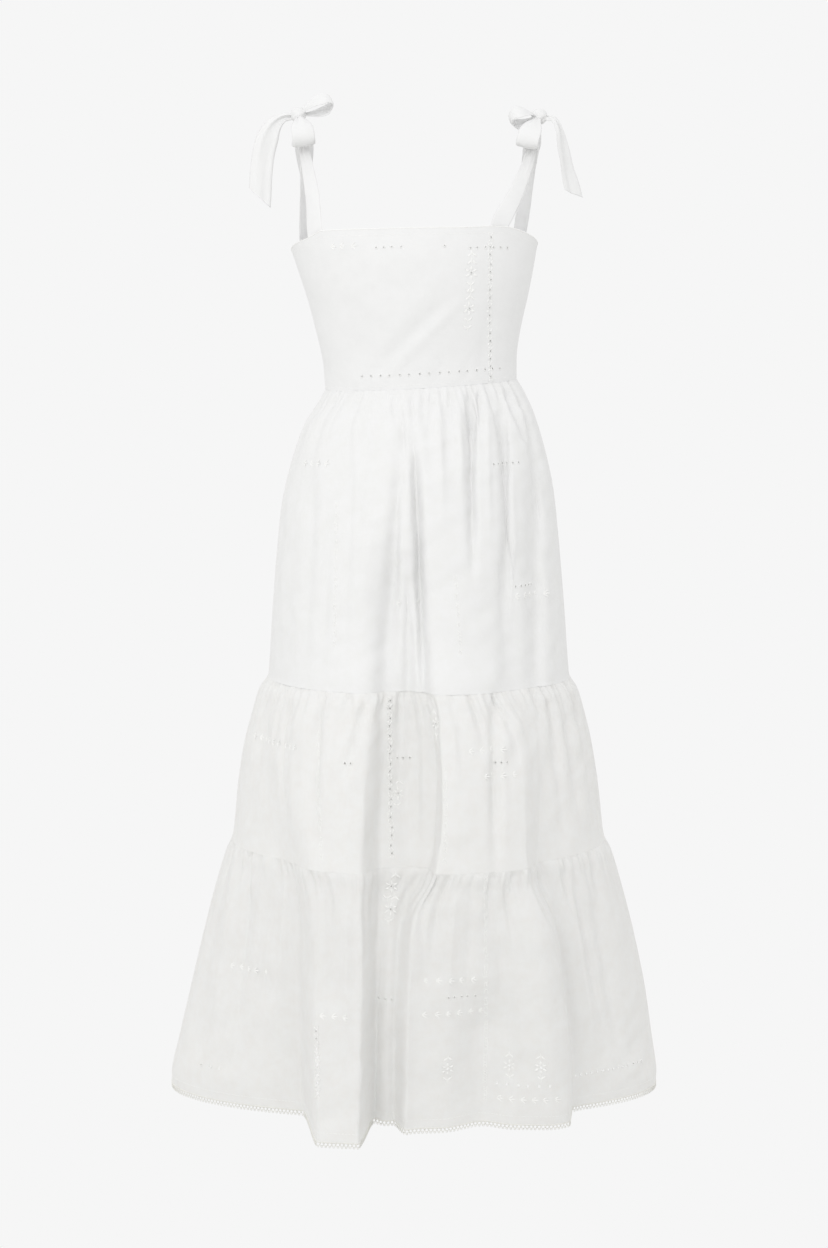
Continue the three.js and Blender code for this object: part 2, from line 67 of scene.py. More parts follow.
# Fineness of the outlines, of curves through points and of the cloth's cells.
OUTLINE_SAMPLES = 1600
ROUTE_STEPS = 40
CELL_ACROSS = 2.2
CELL_DOWN = 3.2
# Number of slanting waves that make up a ripple of the cloth.
RIPPLE_COUNT = 26
# An eyelet opens one cell, and one more to each side where the cells are drawn together.
HOLE_COLUMNS = 1
NARROW_CELL = 0.75 * CELL_ACROSS
# How far stitches and the rings of eyelets lie above the cloth.
STITCH_LIFT = 0.1
RING_LIFT = 0.2


class Side(Enum):
    """The half of the dress that a piece belongs to."""

    FRONT = "front"
    BACK = "back"

    @property
    def sign(self) -> int:
        """The direction of this half along Y."""
        return -1 if self is Side.FRONT else 1


@dataclass(frozen=True)
class Section:
    """Middle, half width and depths of the dress at one height."""

    z: float
    centre: float
    half: float
    front: float
    back: float


@dataclass(frozen=True)
class FoldRow:
    """Both walls of a broad fold at one height, how far it stands out and how wide its bends are."""

    z: float
    left: float
    right: float
    reach: float
    left_bend: float
    right_bend: float


@dataclass(frozen=True)
class Crease:
    """A soft trough, or a ridge where the depth is negative, from one place to another.

    Its right side may be steeper than its left, by the share right_share of the width.
    """

    top_x: float
    low_x: float
    width: float
    depth: float
    start: float
    end: float
    right_share: float = 1.0


@dataclass(frozen=True)
class EdgePoint:
    """A corner of the bodice's upper edge: turning angle from the middle, and height."""

    angle: float
    z: float


# The dress without its folds: middle, half width and the depths to the front and the back.
BODICE_SECTIONS = (
    Section(-105, -3, 171, 108, 100),
    Section(-133, -2, 165, 112, 103),
    Section(-165, 1, 157, 115, 102),
    Section(-205, 4, 146.5, 112, 98),
    Section(-242, 5, 137.5, 106, 94),
    Section(-280, 6.5, 130, 99, 91),
    Section(WAIST, 8, 128, 95, 90),
)

SKIRT_SECTIONS = (
    Section(WAIST, 8, 128, 95, 90),
    Section(-335, 8, 138, 108, 101),
    Section(-363, 5.5, 153.5, 130, 122),
    Section(-413, 4.5, 170, 152, 142),
    Section(-466, 4, 182, 166, 155),
    Section(-529, 4, 189, 180, 166),
    Section(-613, 4.5, 196, 192, 176),
    Section(-697, 5, 202, 202, 185),
    Section(SEAM_ONE, 5, 204, 203, 187),
    Section(-725, 4.5, 214.5, 208, 192),
    Section(-756, 4.5, 224, 211, 196),
    Section(-795, 4, 234, 214, 200),
    Section(-846, 4, 242.5, 216, 204),
    Section(-915, 4.5, 250, 217, 207),
    Section(SEAM_TWO, 4.5, 253, 217, 208),
    Section(-945, 5, 261, 216, 210),
    Section(-998, 5, 277, 212, 212),
    Section(-1056, 5, 292, 204, 212),
    Section(-1131, 4, 309, 192, 210),
    Section(-1199, 1, 322, 181, 207),
    Section(-1245, -1, 331, 174, 205),
    Section(HEM, -1.5, 331, 171, 204),
)

# The broad folds, each from the first seam of the skirt down to the hem.
FRONT_FOLDS = (
    (
        FoldRow(SEAM_ONE, -150, -44, 8, 60, 30),
        FoldRow(-760, -168, -47, 22, 60, 26),
        FoldRow(-846, -168, -55, 34, 60, 24),
        FoldRow(SEAM_TWO, -152, -57, 42, 50, 28),
        FoldRow(-985, -142, -57, 48, 40, 26),
        FoldRow(-1056, -140, -57, 54, 34, 25),
        FoldRow(-1131, -140, -59, 66, 30, 24),
        FoldRow(HEM, -135, -62, 90, 26, 22),
    ),
    (
        FoldRow(SEAM_ONE, 18, 118, 10, 20, 40),
        FoldRow(-760, 28, 141, 22, 10, 24),
        FoldRow(-846, 30, 149, 34, 9, 20),
        FoldRow(SEAM_TWO, 21, 150, 36, 12, 16),
        FoldRow(-985, -8, 160, 34, 20, 12),
        FoldRow(-1056, -15, 176, 35, 22, 10),
        FoldRow(-1131, -18, 188, 38, 22, 9),
        FoldRow(HEM, -20, 196, 42, 20, 9),
    ),
)
BACK_FOLDS = (
    (
        FoldRow(SEAM_ONE, -140, -78, 3, 40, 34),
        FoldRow(SEAM_TWO, -168, -88, 18, 40, 30),
        FoldRow(HEM, -212, -112, 48, 34, 26),
    ),
    (
        FoldRow(SEAM_ONE, -36, 26, 4, 34, 34),
        FoldRow(SEAM_TWO, -42, 40, 22, 30, 30),
        FoldRow(HEM, -50, 52, 55, 24, 24),
    ),
    (
        FoldRow(SEAM_ONE, 84, 142, 3, 34, 40),
        FoldRow(SEAM_TWO, 96, 172, 16, 30, 40),
        FoldRow(HEM, 118, 216, 44, 26, 34),
    ),
)

# Long hollows between the skirt's folds, most of them hanging from the waist. The last front one is
# negative: it fills the recess between the two broad folds of the lowest tier.
FRONT_HOLLOWS = (
    Crease(-92, -112, 26, 5, -335, -600),
    Crease(-60, -74, 22, 6, -330, -560),
    Crease(-14, -46, 22, 12, -370, -780),
    Crease(-10, -6, 16, 9, -550, -790),
    Crease(-3, 16, 13, 18, -345, -800),
    Crease(40, 44, 18, 5, -325, -450),
    Crease(70, 74, 13, 15, -322, -590),
    Crease(112, 122, 13, 15, -325, -640),
    Crease(154, 158, 22, 19, -400, -800),
    Crease(-18, -22, 76, 28, -480, -1000),
    Crease(-4, -6, 40, 14, -690, -1010),
    Crease(84, 84, 58, 18, -1060, -1400),
    Crease(-34, -39, 44, -24, -950, -1440),
)
BACK_HOLLOWS = (
    Crease(-96, -138, 24, 9, -330, -700),
    Crease(-62, -80, 20, 12, -325, -620),
    Crease(-30, -34, 20, 10, -340, -715),
    Crease(6, 8, 20, 14, -330, -640),
    Crease(42, 56, 20, 10, -325, -715),
    Crease(80, 110, 22, 12, -330, -660),
)

# Smaller creases, where the gathers run on as soft troughs and ridges, and one broad ridge on the wide
# fold of the lowest tier.
FRONT_CREASES = (
    Crease(-18, -12, 9, 5.0, -336, -420, 0.6),
    Crease(-6, -1, 7, 4.0, -324, -372),
    Crease(22, 18, 8, 3.0, -322, -400),
    Crease(30, 36, 10, -2.5, -326, -520),
    Crease(55, 60, 8, -3.0, -322, -470),
    Crease(84, 87, 6, 6.0, -322, -392),
    Crease(70, 76, 11, 6.0, -320, -430),
    Crease(44, 47, 7, 3.6, -320, -380),
    Crease(-30, -24, 7, 3.2, -322, -372),
    Crease(92, 96, 10, -3.0, -326, -560),
    Crease(116, 158, 9, 7.0, -322, -425),
    Crease(122, 128, 12, -3.5, -400, -700),
    Crease(122, 128, 38, 10.0, -520, -780),
    Crease(-14, -16, 12, -4.5, -420, -705),
    Crease(-62, -66, 20, -2.5, -420, -705),
    Crease(-132, -146, 16, 3.6, -380, -760),
    Crease(-110, -122, 12, 3.2, -440, -740),
    Crease(-80, -96, 16, 4.6, -370, -740),
    Crease(152, 172, 12, 6.0, -380, -580),
    Crease(160, 176, 14, 3.0, -560, -705),
    Crease(-122, -130, 10, 4.0, -712, -940),
    Crease(-108, -116, 14, -2.4, -716, -900),
    Crease(-62, -96, 12, 7.0, -712, -830),
    Crease(-84, -80, 16, -3.0, -760, -925),
    Crease(-40, -44, 9, 3.0, -714, -800),
    Crease(-12, -18, 10, -2.6, -714, -860),
    Crease(2, 4, 9, 3.0, -714, -925),
    Crease(104, 102, 16, 11.0, -690, -960),
    Crease(50, 52, 9, -2.0, -716, -840),
    Crease(106, 114, 14, -3.5, -716, -915),
    Crease(150, 160, 12, -3.0, -730, -925),
    Crease(176, 196, 14, 4.4, -716, -925),
    Crease(196, 222, 12, 4.0, -722, -925),
    Crease(-196, -226, 16, 2.8, -745, -920),
    Crease(-160, -172, 12, 2.4, -720, -860),
    Crease(-108, -106, 12, 3.4, -938, -1120),
    Crease(-86, -86, 12, -3.6, -940, -1240),
    Crease(-8, -26, 10, 2.0, -936, -1060),
    Crease(30, 14, 14, 2.6, -936, -1090),
    Crease(52, 40, 12, -3.0, -936, -1120),
    Crease(72, 62, 14, 2.8, -938, -1130),
    Crease(104, 112, 15, 2.2, -938, -1200),
    Crease(146, 192, 60, -18.0, -940, -1420),
    Crease(112, 132, 18, 3.6, -1000, -1300),
    Crease(114, 124, 8, 3.4, -936, -1030),
    Crease(176, 216, 18, 5.0, -940, -1270),
    Crease(196, 240, 12, -3.0, -942, -1200),
    Crease(206, 258, 14, 5.0, -940, -1220),
    Crease(228, 286, 16, 5.0, -940, -1290),
    Crease(190, 214, 9, 4.5, -936, -1040),
    Crease(-186, -206, 16, 4.0, -940, -1200),
    Crease(-168, -178, 12, -3.0, -938, -1180),
    Crease(-212, -252, 18, 3.4, -945, -1270),
    Crease(-236, -276, 14, -2.6, -950, -1230),
)
BACK_CREASES = (
    Crease(-118, -132, 14, 3.0, -716, -900),
    Crease(-60, -66, 12, 2.6, -716, -860),
    Crease(-12, -16, 10, -2.2, -716, -840),
    Crease(44, 58, 14, 3.4, -716, -925),
    Crease(108, 124, 12, 2.4, -716, -880),
    Crease(160, 186, 16, 2.8, -730, -925),
    Crease(-190, -226, 18, 4.0, -938, -1200),
    Crease(-118, -140, 12, -2.6, -938, -1120),
    Crease(-66, -78, 16, 4.2, -938, -1270),
    Crease(4, 2, 12, 3.0, -938, -1130),
    Crease(66, 84, 16, 4.4, -938, -1270),
    Crease(132, 158, 14, 3.0, -938, -1160),
    Crease(196, 240, 18, 3.8, -942, -1240),
)

# Drag lines of the fitted bodice: soft, slanting from the bust towards the waist.
FRONT_DRAG = (
    Crease(62, -77, 26, 1.8, -190, -320),
    Crease(84, -55, 20, -1.7, -190, -320),
    Crease(40, -60, 26, -1.0, -170, -292),
    Crease(-96, -70, 26, 1.5, -190, -312),
    Crease(104, 84, 20, 1.8, -196, -316),
    Crease(-40, -30, 16, 1.0, -262, -320),
    Crease(34, 30, 14, 1.1, -270, -320),
    Crease(74, 62, 12, 1.0, -276, -320),
)
BACK_DRAG = (
    Crease(-70, -24, 24, 1.8, -180, -300),
    Crease(62, 18, 24, 1.6, -186, -306),
    Crease(-100, -80, 18, 1.2, -220, -316),
    Crease(94, 80, 18, 1.3, -214, -316),
    Crease(4, 2, 14, 1.0, -262, -320),
)

# The upper edge of the bodice from the left side seam to the right one, flat where straps are sewn in.
FRONT_EDGE = (
    EdgePoint(-90, -141),
    EdgePoint(-57, -130),
    EdgePoint(-46, -121),
    EdgePoint(-20, -121),
    EdgePoint(20, -119),
    EdgePoint(37.5, -116),
    EdgePoint(48, -116),
    EdgePoint(90, -133),
)
BACK_EDGE = (
    EdgePoint(-90, -141),
    EdgePoint(-73, -146),
    EdgePoint(-60.5, -149),
    EdgePoint(55, -145),
    EdgePoint(66, -142),
    EdgePoint(90, -133),
)


@dataclass(frozen=True)
class Half:
    """What differs between the front and the back of the dress."""

    side: Side
    folds: tuple[tuple[FoldRow, ...], ...]
    hollows: tuple[Crease, ...]
    creases: tuple[Crease, ...]
    drag: tuple[Crease, ...]
    edge: tuple[EdgePoint, ...]


FRONT = Half(Side.FRONT, FRONT_FOLDS, FRONT_HOLLOWS, FRONT_CREASES, FRONT_DRAG, FRONT_EDGE)
BACK = Half(Side.BACK, BACK_FOLDS, BACK_HOLLOWS, BACK_CREASES, BACK_DRAG, BACK_EDGE)


def smoothstep(value: np.ndarray, low: float, high: float) -> np.ndarray:
    """Rises softly from 0 at low to 1 at high."""
    t = np.clip((value - low) / (high - low), 0.0, 1.0)
    return t * t * (3.0 - 2.0 * t)


def unit(vectors: np.ndarray) -> np.ndarray:
    """The same directions with length 1."""
    vectors = np.asarray(vectors, float)
    return vectors / np.maximum(np.linalg.norm(vectors, axis=-1, keepdims=True), 1e-9)


def column_at(rows: Sequence, column: str, z: np.ndarray) -> np.ndarray:
    """Reads one column of a table at some heights, on a smooth curve through its rows.

    Args:
        rows: table rows from the top down, each with a z.
        column: the name of the column.
        z: heights, held within the table.

    Returns:
        The column's value at each height.
    """
    heights = np.array([row.z for row in rows], float)
    values = np.array([getattr(row, column) for row in rows], float)
    place = np.arange(len(rows))
    above = np.maximum(place - 1, 0)
    below = np.minimum(place + 1, len(rows) - 1)
    slopes = (values[below] - values[above]) / (heights[below] - heights[above])
    held = np.clip(z, heights[-1], heights[0])
    i = np.clip(np.searchsorted(-heights, -held) - 1, 0, len(rows) - 2)
    span = heights[i + 1] - heights[i]
    t = (held - heights[i]) / span
    start = values[i] * (1 + 2 * t) * (1 - t) ** 2 + span * slopes[i] * t * (1 - t) ** 2
    end = values[i + 1] * t * t * (3 - 2 * t) + span * slopes[i + 1] * t * t * (t - 1)
    return start + end


def trough(
    creases: Sequence[Crease], x: np.ndarray, z: np.ndarray, fade: tuple[float, float]
) -> np.ndarray:
    """How deep some creases press the cloth in at each place.

    Args:
        creases: the troughs and ridges.
        x: places across the dress.
        z: heights of the places.
        fade: shares of a crease's run where it is fully open and where it starts to close.

    Returns:
        The depth at each place.
    """
    depth = np.zeros(np.broadcast(x, z).shape)
    for crease in creases:
        run = np.clip((crease.start - z) / (crease.start - crease.end), 0.0, 1.0)
        middle = crease.top_x + (crease.low_x - crease.top_x) * run
        open_share = smoothstep(run, 0.0, fade[0]) * (1.0 - smoothstep(run, fade[1], 1.0))
        half = crease.width / 2 * np.where(x > middle, crease.right_share, 1.0)
        depth += crease.depth * open_share * np.exp(-(((x - middle) / half) ** 2))
    return depth


def ripple(
    across: np.ndarray, down: np.ndarray, waves: tuple[float, float], height: float, seed: int
) -> np.ndarray:
    """Uneven soft waviness of cloth, as a sum of slanting waves.

    Args:
        across: distance along the cloth's width.
        down: distance along its length.
        waves: shortest and longest wave.
        height: mean height of the waviness.
        seed: seed of the waves' slants and starts.

    Returns:
        The height at each place.
    """
    draw = np.random.default_rng(seed)
    count = RIPPLE_COUNT
    lengths = np.exp(draw.uniform(math.log(waves[0]), math.log(waves[1]), count))
    slants = draw.uniform(0.0, math.pi, count)
    starts = draw.uniform(0.0, 2 * math.pi, count)
    total = np.zeros(np.broadcast(across, down).shape)
    for length, slant, start in zip(lengths, slants, starts):
        along = across * math.cos(slant) + down * math.sin(slant)
        total += length * np.sin(along * (2 * math.pi / length) + start)
    return height * total / (lengths.mean() * math.sqrt(count / 2))


def smooth_route(points: Sequence[Sequence[float]], count: int) -> np.ndarray:
    """Places evenly spaced on a smooth curve through a few points.

    Args:
        points: the points that the curve passes.
        count: how many places to give.

    Returns:
        The places, one row each.
    """
    given = np.asarray(points, float)
    given = np.vstack([2 * given[0] - given[1], given, 2 * given[-1] - given[-2]])
    knots = np.concatenate([[0], np.cumsum(np.linalg.norm(np.diff(given, axis=0), axis=1) ** 0.5)])
    dense = []
    for i in range(1, len(given) - 2):
        t = np.linspace(knots[i], knots[i + 1], ROUTE_STEPS, endpoint=i == len(given) - 3)[:, None]
        k = knots[i - 1:i + 3]
        level = list(given[i - 1:i + 3])
        for step in (1, 2):
            level = [
                ((k[j + step] - t) * level[j] + (t - k[j]) * level[j + 1]) / (k[j + step] - k[j])
                for j in range(4 - step)
            ]
        dense.append(((k[2] - t) * level[0] + (t - k[1]) * level[1]) / (k[2] - k[1]))
    route = np.vstack(dense)
    arc = arc_lengths(route)
    return at_arcs(route, arc, np.linspace(0, arc[-1], count))


def arc_lengths(line: np.ndarray) -> np.ndarray:
    """Distance of each point along a line from the line's start."""
    return np.concatenate([[0], np.cumsum(np.linalg.norm(np.diff(line, axis=0), axis=1))])


def at_arcs(values: np.ndarray, arc: np.ndarray, wanted: np.ndarray) -> np.ndarray:
    """Reads the points or directions of a line at some distances along it."""
    return np.stack([np.interp(wanted, arc, values[:, axis]) for axis in range(3)], axis=1)


def grid_faces(rows: int, columns: int) -> np.ndarray:
    """Corner numbers of the quads of a grid of points, row by row."""
    corner = np.arange((rows - 1) * columns).reshape(rows - 1, columns)[:, :-1].ravel()
    return np.stack([corner, corner + columns, corner + columns + 1, corner + 1], axis=1)


class Joined:
    """Many small forms gathered into one mesh."""

    def __init__(self) -> None:
        """Starts empty."""
        self.points: list[np.ndarray] = []
        self.faces: list[np.ndarray] = []
        self.count = 0

    def add(self, points: np.ndarray, faces: np.ndarray) -> None:
        """Takes in one form's points and quads."""
        self.points.append(points.reshape(-1, 3))
        self.faces.append(faces + self.count)
        self.count += self.points[-1].shape[0]

    def add_copies(self, form: "Form", places: "Places") -> None:
        """Takes in a copy of a small form at each place, turned to the cloth there."""
        if len(places.points) == 0:
            return
        axes = np.stack([places.across, places.down, places.outward], axis=1)
        points = places.points[:, None, :] + np.einsum("pi,mij->mpj", form.points, axes)
        step = np.arange(len(places.points))[:, None, None] * len(form.points)
        self.add(points, (form.faces[None] + step).reshape(-1, 4))

    def add_cord(
        self, line: np.ndarray, outward: np.ndarray, upward: np.ndarray, radius: float, sides: int
    ) -> None:
        """Takes in a thin cord along a line, round the two directions given."""
        turns = np.linspace(0, 2 * math.pi, sides, endpoint=False)
        rows = [line + radius * (math.cos(turn) * outward + math.sin(turn) * upward) for turn in turns]
        self.add(np.stack([*rows, rows[0]]), grid_faces(sides + 1, len(line)))

    def build(self, name: str) -> bpy.types.Object:
        """Makes the mesh object."""
        return mesh_object(name, np.vstack(self.points), np.vstack(self.faces))


def mesh_object(
    name: str, points: np.ndarray, faces: np.ndarray, flat: Optional[np.ndarray] = None
) -> bpy.types.Object:
    """Makes a smooth mesh object from points in millimetres.

    Args:
        name: the object's name.
        points: corner points.
        faces: corner numbers of each quad.
        flat: each point's place on the flat cloth in metres, for its weave.

    Returns:
        The object, linked to the scene.
    """
    mesh = bpy.data.meshes.new(name)
    mesh.from_pydata((points * MM).tolist(), [], faces.tolist())
    mesh.polygons.foreach_set("use_smooth", [True] * len(faces))
    if flat is not None:
        layer = mesh.uv_layers.new(name="cloth")
        corners = np.empty(len(mesh.loops), np.int32)
        mesh.loops.foreach_get("vertex_index", corners)
        layer.data.foreach_set("uv", flat[corners].astype(np.float32).ravel())
    mesh.update()
    piece = bpy.data.objects.new(name, mesh)
    bpy.context.scene.collection.objects.link(piece)
    return piece


@dataclass
class Form:
    """A small form in its own place: across, down and out of the cloth."""

    points: np.ndarray
    faces: np.ndarray

    @classmethod
    def ring(cls, radius: float, thickness: float, segments: int = 12, sides: int = 5) -> "Form":
        """A thread-wound ring that lies on the cloth."""
        turn = np.arange(segments) * (2 * math.pi / segments)
        tilt = np.arange(sides) * (2 * math.pi / sides)
        out = radius + thickness * np.cos(tilt)[None, :]
        points = np.stack(
            [
                out * np.cos(turn)[:, None],
                out * np.sin(turn)[:, None],
                np.broadcast_to(thickness * np.sin(tilt)[None, :], (segments, sides)),
            ],
            axis=2,
        )
        i, j = np.meshgrid(np.arange(segments), np.arange(sides), indexing="ij")
        after, beside = (i + 1) % segments, (j + 1) % sides
        corners = [i * sides + j, after * sides + j, after * sides + beside, i * sides + beside]
        return cls(points.reshape(-1, 3), np.stack([c.ravel() for c in corners], axis=1))

    @classmethod
    def satin(cls, length: float, width: float, height: float, turn: float, offset: float) -> "Form":
        """A satin-stitched leaf, petal or stitch, rounded over the cloth.

        Args:
            length: length of the leaf.
            width: its greatest width.
            height: how far it stands out.
            turn: its angle on the cloth, in degrees from the across direction.
            offset: distance from the middle of the motif to its near end.

        Returns:
            The leaf as a low dome.
        """
        rows, columns, sunk, blunt, fullness = 6, 5, 0.15, 0.06, 0.7
        along = np.linspace(0, 1, rows)[:, None]
        aside = np.linspace(-1, 1, columns)[None, :]
        body = np.sin(math.pi * (blunt + (1 - 2 * blunt) * along)) ** fullness
        run = offset + length * along + 0 * aside
        over = width / 2 * body * aside
        out = height * body * np.sqrt(np.maximum(1 - aside**2, 0)) - sunk
        cosine, sine = math.cos(math.radians(turn)), math.sin(math.radians(turn))
        points = np.stack([run * cosine - over * sine, run * sine + over * cosine, out], axis=2)
        return cls(points.reshape(-1, 3), grid_faces(rows, columns))


@dataclass(frozen=True)
class Satin:
    """Size of a satin-stitched leaf, petal or bar, and its distance from the middle of its motif."""

    length: float
    width: float
    height: float
    offset: float

    def turned(self, turn: float, size: float = 1.0) -> Form:
        """The stitch at an angle on the cloth, at a share of its size."""
        return Form.satin(
            self.length * size, self.width * size, self.height * size, turn, self.offset * size
        )


@dataclass
class Places:
    """Places on a sheet of cloth, with the cloth's directions there."""

    points: np.ndarray
    across: np.ndarray
    down: np.ndarray
    outward: np.ndarray


class ClothGrid:
    """A sheet of cloth as rows of points from its upper edge down."""

    def __init__(self, points: np.ndarray, outward: np.ndarray) -> None:
        """Takes the rows of points and a rough outward direction at each."""
        self.points = points
        across = unit(np.gradient(points, axis=1))
        down = unit(np.gradient(points, axis=0))
        normal = unit(np.cross(across, down))
        facing = np.sign((normal * outward).sum(axis=-1, keepdims=True))
        self.across = across
        self.down = down
        self.outward = normal * np.where(facing == 0, 1, facing)
        self.holes: set[tuple[int, int]] = set()

    @property
    def shape(self) -> tuple[int, int]:
        """Rows and columns of points."""
        return self.points.shape[0], self.points.shape[1]

    def width(self, row: int) -> float:
        """Length of the cloth along one row."""
        return float(arc_lengths(self.points[row])[-1])

    def height(self) -> float:
        """Length of the cloth along its middle column."""
        return float(arc_lengths(self.points[:, self.shape[1] // 2])[-1])

    def area(self) -> float:
        """Area of the cloth, in square metres."""
        fall = self.points[1:, 1:] - self.points[:-1, :-1]
        rise = self.points[1:, :-1] - self.points[:-1, 1:]
        return float(np.linalg.norm(np.cross(fall, rise), axis=-1).sum() / 2 * MM * MM)

    def held_row(self, row: int) -> int:
        """The nearest row that leaves room for a hole."""
        return int(np.clip(row, 1, self.shape[0] - 3))

    def held_column(self, column: int) -> int:
        """The nearest column that leaves room for a hole."""
        return int(np.clip(column, 1, self.shape[1] - 2 - HOLE_COLUMNS))

    def row_near(self, x: float, z: float) -> int:
        """The row that passes a height at a place across the front."""
        column = self.column_near(x, z)
        return int(np.abs(self.points[:, column, 2] - z).argmin())

    def column_near(self, x: float, z: float) -> int:
        """The column that passes a place across the dress at a height."""
        row = int(np.abs(self.points[:, self.shape[1] // 2, 2] - z).argmin())
        return int(np.abs(self.points[row, :, 0] - x).argmin())

    def cells_down(self, line: "Ladder", pitch: float) -> list[tuple[int, int]]:
        """Cells along a line down the cloth.

        Args:
            line: the line, from its top to its foot.
            pitch: spacing of the cells.

        Returns:
            Row and column of each cell.
        """
        count = max(2, int((line.start - line.end) / pitch))
        cells = []
        for share in (np.arange(count) + 0.5) / count:
            x = line.top_x + (line.low_x - line.top_x) * share
            z = line.start + (line.end - line.start) * share
            column = self.held_column(self.column_near(x, z))
            row = int(np.abs(self.points[:, column, 2] - z).argmin())
            cells.append((self.held_row(row), column))
        return cells

    def cells_across(self, z: float, start: float, end: float, pitch: float) -> list[tuple[int, int]]:
        """Cells along one row of the cloth, between two places across the dress."""
        row = self.held_row(self.row_near((start + end) / 2, z))
        line = self.points[row]
        arc = arc_lengths(line)
        inside = np.flatnonzero((line[:, 0] >= start) & (line[:, 0] <= end))
        if inside.size < 2:
            return []
        wanted = np.arange(arc[inside[0]] + pitch / 2, arc[inside[-1]], pitch)
        columns = np.searchsorted(arc, wanted) - 1
        return [(row, self.held_column(column)) for column in columns]

    def at_cells(self, cells: Sequence[tuple[int, int]], lift: float = STITCH_LIFT) -> Places:
        """The middles of some cells, one row high and as wide as a hole, a little above the cloth."""
        rows = np.array([cell[0] for cell in cells], int)
        columns = np.array([cell[1] for cell in cells], int)
        corners = [(rows + i, columns + j) for i in (0, 1) for j in (0, HOLE_COLUMNS)]
        middle = [sum(values[r, c] for r, c in corners) / 4 for values in
                  (self.points, self.across, self.down, self.outward)]
        points, across, down, outward = middle
        outward, across = unit(outward), unit(across)
        down = unit(np.cross(outward, across))
        flip = np.sign((down * middle[2]).sum(axis=-1, keepdims=True))
        return Places(points + lift * outward, across, down * flip, outward)

    def build(self, name: str) -> bpy.types.Object:
        """Makes the cloth as a mesh, open where holes were cut."""
        rows, columns = self.shape
        faces = grid_faces(rows, columns)
        keep = np.ones((rows - 1, columns - 1), bool)
        for row, column in self.holes:
            width = np.linalg.norm(self.points[row, column + HOLE_COLUMNS] - self.points[row, column])
            spare = int(width < NARROW_CELL)
            keep[row, column - spare:column + HOLE_COLUMNS + spare] = False
        r, c = np.meshgrid(np.arange(rows), np.arange(columns), indexing="ij")
        flat = np.stack([c * CELL_ACROSS * MM, -r * CELL_DOWN * MM], axis=2).reshape(-1, 2)
        return mesh_object(name, self.points.reshape(-1, 3), faces[keep.ravel()], flat)

    def lining(self, name: str, depth: float, skip: int) -> bpy.types.Object:
        """Makes a layer of cloth just inside this one, with its first and last rows and some between."""
        rows = np.unique(np.append(np.arange(0, self.shape[0], skip), self.shape[0] - 1))
        columns = np.arange(self.shape[1])
        inside = (self.points - depth * self.outward)[np.ix_(rows, columns)]
        flat = np.zeros((rows.size, columns.size, 2))
        flat[:, :, 0] = columns[None, :] * CELL_ACROSS * MM
        flat[:, :, 1] = -rows[:, None] * CELL_DOWN * MM
        faces = grid_faces(rows.size, columns.size)
        return mesh_object(name, inside.reshape(-1, 3), faces, flat.reshape(-1, 2))


def linear(colour: str) -> tuple[float, float, float, float]:
    """Turns an sRGB hex colour into linear red, green, blue and a full alpha."""
    parts = [int(colour[i:i + 2], 16) / 255 for i in (1, 3, 5)]
    lit = [part / 12.92 if part <= 0.04045 else ((part + 0.055) / 1.055) ** 2.4 for part in parts]
    return (lit[0], lit[1], lit[2], 1.0)


def add_node(
    tree: bpy.types.NodeTree, kind: str, settings: Optional[dict] = None, links: Optional[dict] = None
) -> bpy.types.Node:
    """Adds a node with its settings and links.

    Args:
        tree: the node tree.
        kind: the node's type.
        settings: values of its inputs, by name or number, and of its own options.
        links: outputs that feed its inputs, by input name or number.

    Returns:
        The node.
    """
    node = tree.nodes.new(kind)
    for key, value in (settings or {}).items():
        if isinstance(key, int) or key in node.inputs:
            node.inputs[key].default_value = value
        else:
            setattr(node, key, value)
    for key, output in (links or {}).items():
        tree.links.new(output, node.inputs[key])
    return node


def bare_material(name: str) -> bpy.types.Material:
    """Makes a material with an empty node tree."""
    made = bpy.data.materials.new(name)
    made.use_nodes = True
    made.node_tree.nodes.clear()
    return made


def seen_or_lit(
    tree: bpy.types.NodeTree, lit: bpy.types.NodeSocket, seen: bpy.types.NodeSocket
) -> bpy.types.NodeSocket:
    """Adds a mix that lights the scene with one shader and shows another behind it."""
    rays = add_node(tree, "ShaderNodeLightPath")
    links = {0: rays.outputs["Is Camera Ray"], 1: lit, 2: seen}
    return add_node(tree, "ShaderNodeMixShader", {}, links).outputs["Shader"]


def tone_ramp(
    tree: bpy.types.NodeTree, pattern: bpy.types.NodeSocket, tones: tuple[str, str], span: tuple[float, float]
) -> bpy.types.Node:
    """Adds a ramp from a darker to a lighter colour between two levels of a pattern.

    Args:
        tree: the node tree.
        pattern: the pattern's output.
        tones: the darker and the lighter colour.
        span: the levels where the ramp starts and ends.

    Returns:
        The ramp.
    """
    ramp = add_node(tree, "ShaderNodeValToRGB", {}, {"Fac": pattern})
    for i in (0, 1):
        ramp.color_ramp.elements[i].position = span[i]
        ramp.color_ramp.elements[i].color = linear(tones[i])
    return ramp


